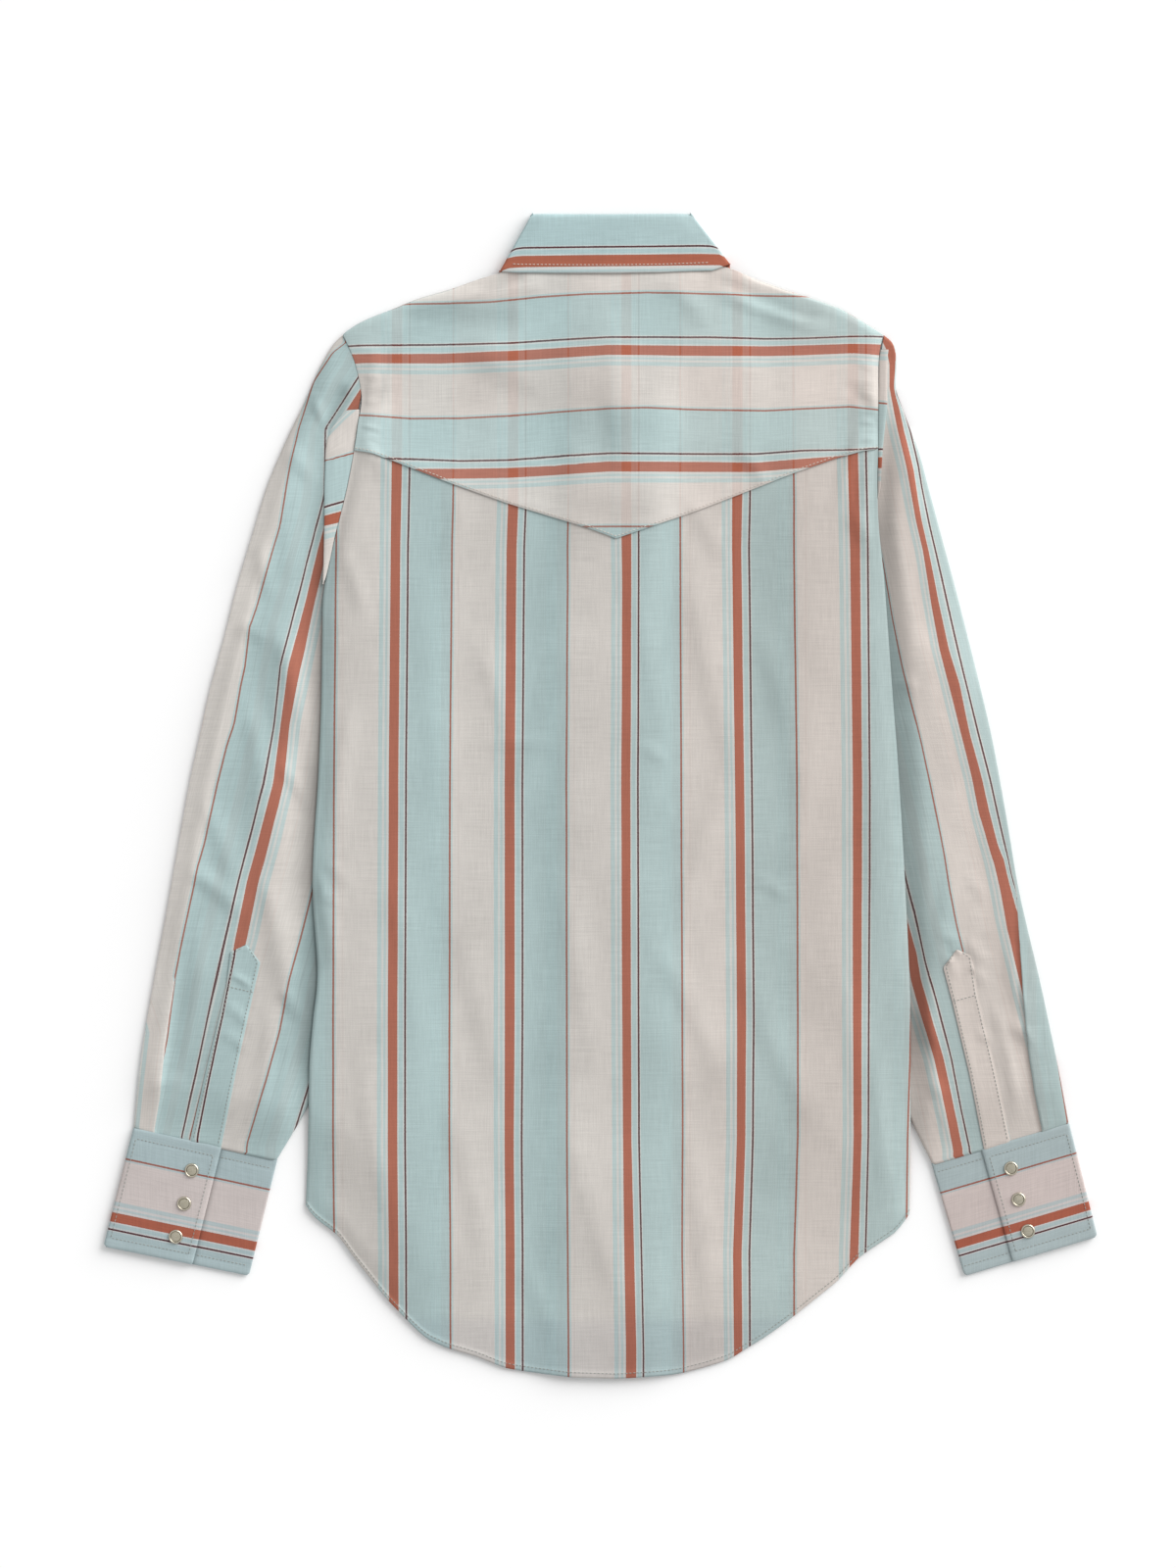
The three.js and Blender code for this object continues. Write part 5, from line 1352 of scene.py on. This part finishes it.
for name, strip in PLACKETS.items():
    grid = placket_grid(strip)
    x, y = grid[..., 0], grid[..., 1]
    place = strip["line_place"] + x - np.interp(y, strip["line"][:, 1], strip["line"][:, 0])
    bar_row = int(np.argmin(np.abs(y[:, 6] - strip["bar"])))
    seam = [grid[2:-4, 3], grid[2:-4, -4], grid[bar_row, 1:-1]]
    thread = stitches(name + "_stitches", seam, name, grey_thread)
    from_edge = (np.arange(grid.shape[1]) - (grid.shape[1] - 1)) * 1.2
    # Painted shade along the strip's last edge: the right placket is darker there.
    tone = 1 - strip["edge_shade"] * bell(from_edge, 2) + 0 * x
    made = cloth_piece(name + "_cloth", [sheet(grid, place, y, tone=tone, flip=True)], cloth)

# %% [markdown]
# ## Cuffs
#
# A cuff is a stiff, doubled band that winds round: from its hidden end under the overlap, round the
# underside and back over the top. It is cut across the cloth, like the yoke, and stitched all round.
# The inner end, which the overlap shades, is a little darker.

# %% Cuffs
CUFFS = {
    # top and bottom edges: outer end x and y, inner end x and y
    "cuff_left": dict(top=(-333.4, -236.5, -230.8, -259.1), bottom=(-354.9, -321.2, -251.1, -342.2),
                      under=0.42, over=0.613, flat=(0.23, 0.088), area=0.0200, scale=1.0,
                      overlap_shadow=0.4, flip=False),
    "cuff_right": dict(top=(334.6, -233.2, 236.5, -262.1), bottom=(354.9, -314.2, 260.1, -342.4),
                       under=0.45, over=0.639, flat=(0.22, 0.086), area=0.0185, scale=1.05,
                       overlap_shadow=0.1, flip=True),
}
CUFF_HEIGHT, CUFF_WIDTH, CUFF_SEAM = 87.2, 103, 7.2
CUFF_TOP, CUFF_UNDER = 4.2, 2.7
UNDER_STEPS = 9


def cuff_path(under, over):
    """The band's way round, as shares of the width, shifts in mm and heights: first the end under the
    overlap, then down the inner side, along the table, up the outer side and over the top."""
    covered = [(over + past, 0, CUFF_UNDER) for past in (0, 0.009, 0.02, 0.04, 0.1)]
    inner_side = [(1, -1.6, CUFF_UNDER), (1, -0.8, 2.65), (1, -0.2, 2.3), (1, 0, 1.7), (1, 0, 1.0),
                  (1, -0.2, 0.4), (1, -0.8, 0.1), (1, -1.6, ON_TABLE)]
    table_side = [(share, 0, ON_TABLE) for share in (0.85, 0.6, 0.35, 0.15)]
    outer_side = [(0, 1.8, ON_TABLE), (0, 0.9, 0.15), (0, 0.25, 0.6), (0, 0, 1.3), (0, 0, 2.9),
                  (0, 0.25, 3.6), (0, 0.9, 4.05), (0, 1.8, CUFF_TOP)]
    top = [(share, 0, CUFF_TOP) for share in np.linspace(0.04, over - 0.05, 14)]
    end = [(over, -3.0, CUFF_TOP), (over, -1.6, CUFF_TOP - 0.15), (over, -0.6, CUFF_TOP - 0.4),
           (over, 0.0, CUFF_TOP - 0.8)]
    hidden = [(under, 0, CUFF_UNDER), *covered, (0.85, 0, CUFF_UNDER)]
    return np.array([*hidden, *inner_side, *table_side, *outer_side, *top, *end])


def cuff_grid(shape):
    """The band's outer face: its path is carried from the cuff's top edge to its bottom edge. The edges
    roll in, and the cloth dips where the stitches pull it down."""
    path = cuff_path(shape["under"], shape["over"])
    v = edged(CUFF_HEIGHT, 3.2, (0.25, 0.7, 1.4, 2.6, 5.0, CUFF_SEAM, 9.0))[:, None]
    corner = 1.6 * ease(v, 0.97, 1) ** 2
    ends = [lerp(shape["top"][k], shape["bottom"][k], v) - MIDDLE[k % 2] for k in range(4)]
    width = np.hypot(ends[2] - ends[0], ends[3] - ends[1])
    share = path[None, :, 0] + path[None, :, 1] / width
    share = 0.5 + (share - 0.5) * (1 - 2 * corner / width)
    x, y = lerp(ends[0], ends[2], share), lerp(ends[1], ends[3], share)
    edge = np.minimum(v, 1 - v) * CUFF_HEIGHT
    on_top = path[None, :, 2] > 2.5
    dip = 0.25 * bell(edge - CUFF_SEAM, 1.2) + 0.45 * bell(edge, 0.8)
    wave = 0.1 * waves(3 * x, 3 * y) * hump(edge, 3, 20, 200, 300)
    z = path[None, :, 2] + np.where(on_top, wave - dip, 0.4 * bell(edge, 0.8))
    return path, np.stack([x, y, z], -1), v * CUFF_HEIGHT + 0 * x


for name, shape in CUFFS.items():
    path, grid, down = cuff_grid(shape)
    place = 43.4 + (down - 22.6) * shape["scale"]
    end = grid.shape[1]
    seam_rows = (6, -7)
    seams = [grid[row, 27:end - 3] for row in seam_rows] + [grid[row, 2:8] for row in seam_rows]
    seams.append(lerp(grid[:, 26], grid[:, 27], 0.8)[6:-6])
    seams.append(lerp(grid[:, end - 4], grid[:, end - 5], 0.6)[6:-6])
    thread = stitches(name + "_stitches", seams, name, grey_thread)
    # Painted shadow: just past the overlap's edge the inner end is darker, as the overlap shades it.
    # Painted shade: the whole band is made a little darker, and pinker in tint.
    past = np.maximum((path[:, 0] - shape["over"]) * CUFF_WIDTH, 0)
    inner_end = np.arange(len(path)) < UNDER_STEPS
    overlap_shadow = 1 - shape["overlap_shadow"] * bell(past, 1.8) * inner_end
    tone = np.broadcast_to(overlap_shadow, grid.shape[:2])[..., None] * (0.93, 0.89, 0.92)
    band = sheet(grid, place, grid[..., 0], tone=tone, flip=shape["flip"])
    made = cloth_piece(name + "_cloth", [band], cloth, DOUBLE_CLOTH)

# %% [markdown]
# ## Collar and stand
#
# The collar is folded over its stand, so from behind only its fall shows: a band that rolls over at
# the top, spreads towards its points and turns at both sides into the leaves under the shirt.

# %% Collar
NECK_CENTRE = 11.4
LEAF = np.array([
    # fold x and y, outer edge x and y
    (7.9, 327.5, -28.5, 252.6), (-8.9, 341.5, -47.4, 278.5), (-29.9, 369.5, -61.4, 313.5),
    (-43.9, 397.5, -69.8, 348.5),
])
SIDE_LEFT, SIDE_RIGHT = (-48.8, 415.7, -71.9, 374.6), (64.6, 415.7, 92.6, 379.6)
FALL = np.array([
    (-40.0, 415.8, -60.0, 373.7), (-18.0, 415.6, -24.0, 373.3), (8.0, 415.6, 11.4, 373.3),
    (34.0, 415.8, 46.0, 373.8), (56.0, 415.9, 80.0, 375.1),
])
FALL_HEIGHTS = [7.0, 7.5, 7.6, 7.5, 7.0]
COLLAR_TOP = 6.2
COLLAR_SHARES = [
    -0.006, -0.004, -0.002, 0, 0.012, 0.035, 0.07, 0.13, 0.25, 0.4, 0.55, 0.68, 0.78, 0.86, 0.92, 0.96,
    0.985, 1.0,
]
COLLAR_DROPS = [6.6, 5.2, 3.6, 2.2, 1.1, 0.4, 0.1, 0, 0, 0, 0, 0, 0.05, 0.15, -0.1, -0.1, 0.05, 0.4]
COLLAR_SEAM_ROW = 13
BETWEEN = 6
COLLAR_LINES = [
    line(-40, [(495, 330), (640, 322), (760, 326)], False),
    line(0, [(505, 285), (512, 277), (519, 274.5), (535, 273.5), (629, 272.5), (717, 271.5), (736, 271.5),
             (748, 279)], False),
    line(9.5, [(505, 278), (512, 268), (519, 263.5), (527, 262), (629, 261), (717, 260), (736, 260.5),
               (748, 270)], False),
    line(17.3, [(510, 268), (521, 258), (527, 255), (535, 254), (629, 253), (717, 252), (728, 252.5),
                (740, 258)], False),
    line(60, [(520, 211), (740, 209)], False),
]


def mirrored(stations):
    """The same stations on the other side of the neck, in reverse order."""
    other = np.array(stations, float)[::-1].copy()
    other[:, [0, 2]] = 2 * NECK_CENTRE - other[:, [0, 2]]
    return other


def ribbon_grid(stations, heights, shares, drops):
    """A band between a fold line and an outer edge: each station gives both points, and six columns lead
    from one station to the next, while the rows go from the fold to the edge. On top, within 1.5 mm of
    the greatest height, each row is lowered by its own drop, so that the fold rolls over and down."""
    heights = np.asarray(heights, float)
    stations = np.asarray(stations, float)
    last = len(stations) - 1
    at = np.linspace(0, last, BETWEEN * last + 1)
    fx, fy, ex, ey = (np.interp(at, np.arange(last + 1), stations[:, k]) - MIDDLE[k % 2] for k in range(4))
    z = np.interp(at, np.arange(last + 1), heights)
    share = np.array(shares)[:, None]
    top = (z > heights.max() - 1.5)[None, :]
    low = np.where(top, np.maximum(z - np.array(drops)[:, None], 0.35), z)
    return np.stack([lerp(fx, ex, share), lerp(fy, ey, share), low], -1)


def turn_up(low, high):
    """Heights of the four copies of a side station, where the band turns from the low layer to the high
    one."""
    return [low, low + 0.7, high - 0.7, high]


collar_stations = [*LEAF, *[SIDE_LEFT] * 4, *FALL, *[SIDE_RIGHT] * 4, *mirrored(LEAF)]
side_heights = turn_up(ON_TABLE, COLLAR_TOP)
leaf_heights = [ON_TABLE] * len(LEAF)
collar_heights = leaf_heights + side_heights + FALL_HEIGHTS + side_heights[::-1] + leaf_heights
collar_points = ribbon_grid(collar_stations, collar_heights, COLLAR_SHARES, COLLAR_DROPS)
x, y = collar_points[..., 0], collar_points[..., 1]
collar_place = stripe_place(x, y, COLLAR_LINES)
on_top = slice(BETWEEN * 8 - 3, BETWEEN * 12 + 1)
collar_seam = collar_points[COLLAR_SEAM_ROW, on_top] + (0, 0, 0.12)
collar_thread = stitches("collar_stitches", [collar_seam], "the collar's edge", pale_thread)
# Painted light: the collar is made a little lighter than the body, and cooler in tint.
collar_sheet = sheet(collar_points, collar_place, x, tone=(1.06, 1.09, 1.11))
collar = cloth_piece("collar_cloth", [collar_sheet], cloth, COLLAR_CLOTH)

# %% [markdown]
# ## The stand inside the collar
#
# The stand is the upright band that the fall is folded over. Pressed flat, it is a narrow ribbon that
# lies between the leaves and the fall and turns over at both sides, so the same function makes it.

# %% Collar stand
STAND_FRONT = np.array([
    # upper edge x and y, lower edge x and y
    (10.9, 325.0, 10.9, 293.4), (-3.0, 329.0, -5.2, 299.9), (-9.0, 334.0, -12.4, 304.9),
    (-22.0, 352.0, -28.8, 322.9), (-33.0, 375.0, -44.5, 346.9),
])
STAND_SIDE_LEFT, STAND_SIDE_RIGHT = (-45.5, 412.0, -57.5, 380.4), (61.0, 412.0, 75.0, 380.4)
STAND_BACK = [(-36.0, 412.2, -45.0, 380.4), (8.0, 412.2, 11.0, 380.6), (54.0, 412.2, 64.0, 380.6)]
STAND_SHARES = [0, 0.03, 0.1, 0.3, 0.5, 0.7, 0.9, 0.97, 1]
STAND_PLACE = 60
stand_low, stand_high = LAYER + 0.2, 2 * LAYER + WALL - 0.1
stand_stations = [
    *STAND_FRONT, *[STAND_SIDE_LEFT] * 4, *STAND_BACK, *[STAND_SIDE_RIGHT] * 4, *mirrored(STAND_FRONT),
]
side_heights = turn_up(stand_low, stand_high)
front_heights = [stand_low] * len(STAND_FRONT)
back_heights = [stand_high] * len(STAND_BACK)
stand_heights = front_heights + side_heights + back_heights + side_heights[::-1] + front_heights
stand_points = ribbon_grid(stand_stations, stand_heights, STAND_SHARES, [0] * len(STAND_SHARES))
x = stand_points[..., 0]
stand = cloth_piece("collar_stand_cloth", [sheet(stand_points, STAND_PLACE + 0 * x, x)], cloth)

# %% [markdown]
# ## Pearl snaps
#
# A western shirt closes with pearl snaps: a domed cap held by a rolled metal rim. Both are turned
# shapes: a profile of radius and height carried round a circle.

# %% Snap materials
def snap_metal():
    """Silvery brass with fine scratches that vary its roughness."""
    shop = Shop("snap_rim_metal")
    at = shop.object_place()
    scratch = shop.node("TexNoise", {}, {"Vector": at, "Scale": 2200.0, "Detail": 3.0})
    colour = shop.mix((0.48, 0.43, 0.33, 1), (0.72, 0.68, 0.58, 1), scratch)
    bump = shop.node("Bump", {}, {"Strength": 0.15, "Distance": 0.0001, "Height": scratch})
    shop.fill(shop.surface, {
        "Base Color": colour, "Metallic": 1.0, "Roughness": scratch * 0.2 + 0.22, "Normal": bump,
    })
    return shop.material


def snap_pearl():
    """Pearl: a warm pale cap with slow cloudy bands and a clear gloss."""
    shop = Shop("snap_pearl_cap")
    at = shop.object_place()
    cloud = shop.node("TexNoise", {}, {"Vector": at, "Scale": 260.0, "Detail": 3.0, "Distortion": 1.5})
    colour = shop.mix((0.27, 0.245, 0.18, 1), (0.47, 0.44, 0.35, 1), cloud)
    shop.fill(shop.surface, {
        "Base Color": colour, "Roughness": cloud * 0.15 + 0.2, "Coat Weight": 0.5, "Coat Roughness": 0.08,
        "Metallic": 0.25,
    })
    return shop.material


metal, pearl = snap_metal(), snap_pearl()
print("snap materials:", metal.name, "and", pearl.name)

# %% [markdown]
# ## The turned rim and cap
#
# A press forms the rim from a disc and folds it over the cap. In Blender they could be spun from a
# curve, but a grid of the profile round a circle is as short and gives clean rings. They stand where
# the model has its snaps: on the cuffs with the cap up, and down the placket with the cap towards
# the table.

# %% Turned snap pieces
RING_PROFILE = np.array([
    # radius, height
    (3.75, 0.0), (4.6, 0.0), (5.0, 0.08), (5.1, 0.4), (5.02, 0.75), (4.75, 1.1), (4.35, 1.4),
    (4.0, 1.3), (3.8, 1.0), (3.75, 0.5),
])
PEARL_PROFILE = np.array([
    # radius, height
    (0.02, 0.0), (3.4, 0.0), (3.6, 0.3), (3.6, 0.85), (3.3, 1.0), (2.6, 1.15), (1.6, 1.25),
    (0.7, 1.3), (0.02, 1.31),
])
TURNS = 40
CUFF_SNAP, FRONT_SNAP = 1.0, -0.84


def turned(name, profile, centre, height, closed, material):
    """The profile carried round a circle: x and y are radius times cosine and sine. A height below 0
    turns the piece upside down. A closed profile's last points are its first ones."""
    turn = np.linspace(0, 2 * np.pi, TURNS, endpoint=False)
    profile = profile if height > 0 else profile[::-1]
    if closed:
        profile = np.concatenate([profile, profile[:1]])
    radius, z = profile[:, :1], profile[:, 1:] * height
    ring = np.stack([radius * np.cos(turn), radius * np.sin(turn), z + 0 * turn], -1) + centre
    quads = grid_quads(len(profile), TURNS, True)
    if closed:
        count = (len(profile) - 1) * TURNS
        quads = np.where(quads >= count, quads - count, quads)
        ring = ring[:-1]
    made = mesh_object(name + "_shown", ring.reshape(-1, 3), quads[:, ::-1], {}, material)
    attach(made, "root")
    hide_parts(name)
    return made


rims = [name for name in sorted(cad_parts) if name.startswith("snap_") and name.endswith("_ring")]
for rim in rims:
    low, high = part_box(rim)
    on_cuff = "cuff" in rim
    foot = low.z if on_cuff else high.z
    centre = np.array([(low.x + high.x) / 2, (low.y + high.y) / 2, foot]) / MM
    height = CUFF_SNAP if on_cuff else FRONT_SNAP
    turned(rim, RING_PROFILE, centre, height, True, metal)
    turned(rim.replace("_ring", "_pearl"), PEARL_PROFILE, centre, height, False, pearl)
print("snaps:", len(rims))

# %% [markdown]
# ## Floor, light and camera
#
# The shirt lies on a white table under a soft light from the upper right, and the camera looks
# straight down from about three metres. The sky gives most of the light, so shadows stay pale. The
# table lies 0.4 mm below the cloth and reaches far past every view, so no edge of it shows.


# %% Stage
def floor_material():
    """White table: nearly flat, with a trace of unevenness."""
    shop = Shop("white_table")
    at = shop.object_place()
    cloud = shop.node("TexNoise", {}, {"Vector": at, "Scale": 3.0, "Detail": 2.0})
    colour = shop.mix((0.89, 0.89, 0.89, 1), (0.91, 0.91, 0.91, 1), cloud)
    shop.fill(shop.surface, {"Base Color": colour, "Roughness": 0.9})
    return shop.material


TABLE_REACH, TABLE_DROP = 40000, 0.4
SKY_STRENGTH, SUN_STRENGTH, SUN_ANGLE = 0.66, 3.9, 0.9
SUN_FROM = (0.70, 0.60, 0.37)
CAMERA_PLACE = (-0.00892, 0.00871, 3.113)

corners = np.array([(-1, -1, 0), (1, -1, 0), (1, 1, 0), (-1, 1, 0)]) * TABLE_REACH - (0, 0, TABLE_DROP)
floor = mesh_object("table_top", corners, np.array([[0, 1, 2, 3]]), {}, floor_material())

world = bpy.data.worlds.new("soft_room")
bpy.context.scene.world = world
world.use_nodes = True
sky = world.node_tree.nodes["Background"]
sky.inputs["Color"].default_value = (1, 1, 1, 1)
sky.inputs["Strength"].default_value = SKY_STRENGTH

key = bpy.data.objects.new("key_light", bpy.data.lights.new("key_light", "SUN"))
key.data.energy = SUN_STRENGTH
key.data.angle = SUN_ANGLE
key.rotation_euler = Vector(SUN_FROM).to_track_quat("Z", "Y").to_euler()
bpy.context.scene.collection.objects.link(key)

camera = bpy.data.objects.new("camera", bpy.data.cameras.new("camera"))
camera.data.lens = 100
camera.data.sensor_width = 36
camera.location = CAMERA_PLACE
bpy.context.scene.collection.objects.link(camera)
bpy.context.scene.camera = camera
bpy.context.scene.view_settings.view_transform = "Standard"
print("camera at", [round(v, 3) for v in camera.location], "light from", SUN_FROM)
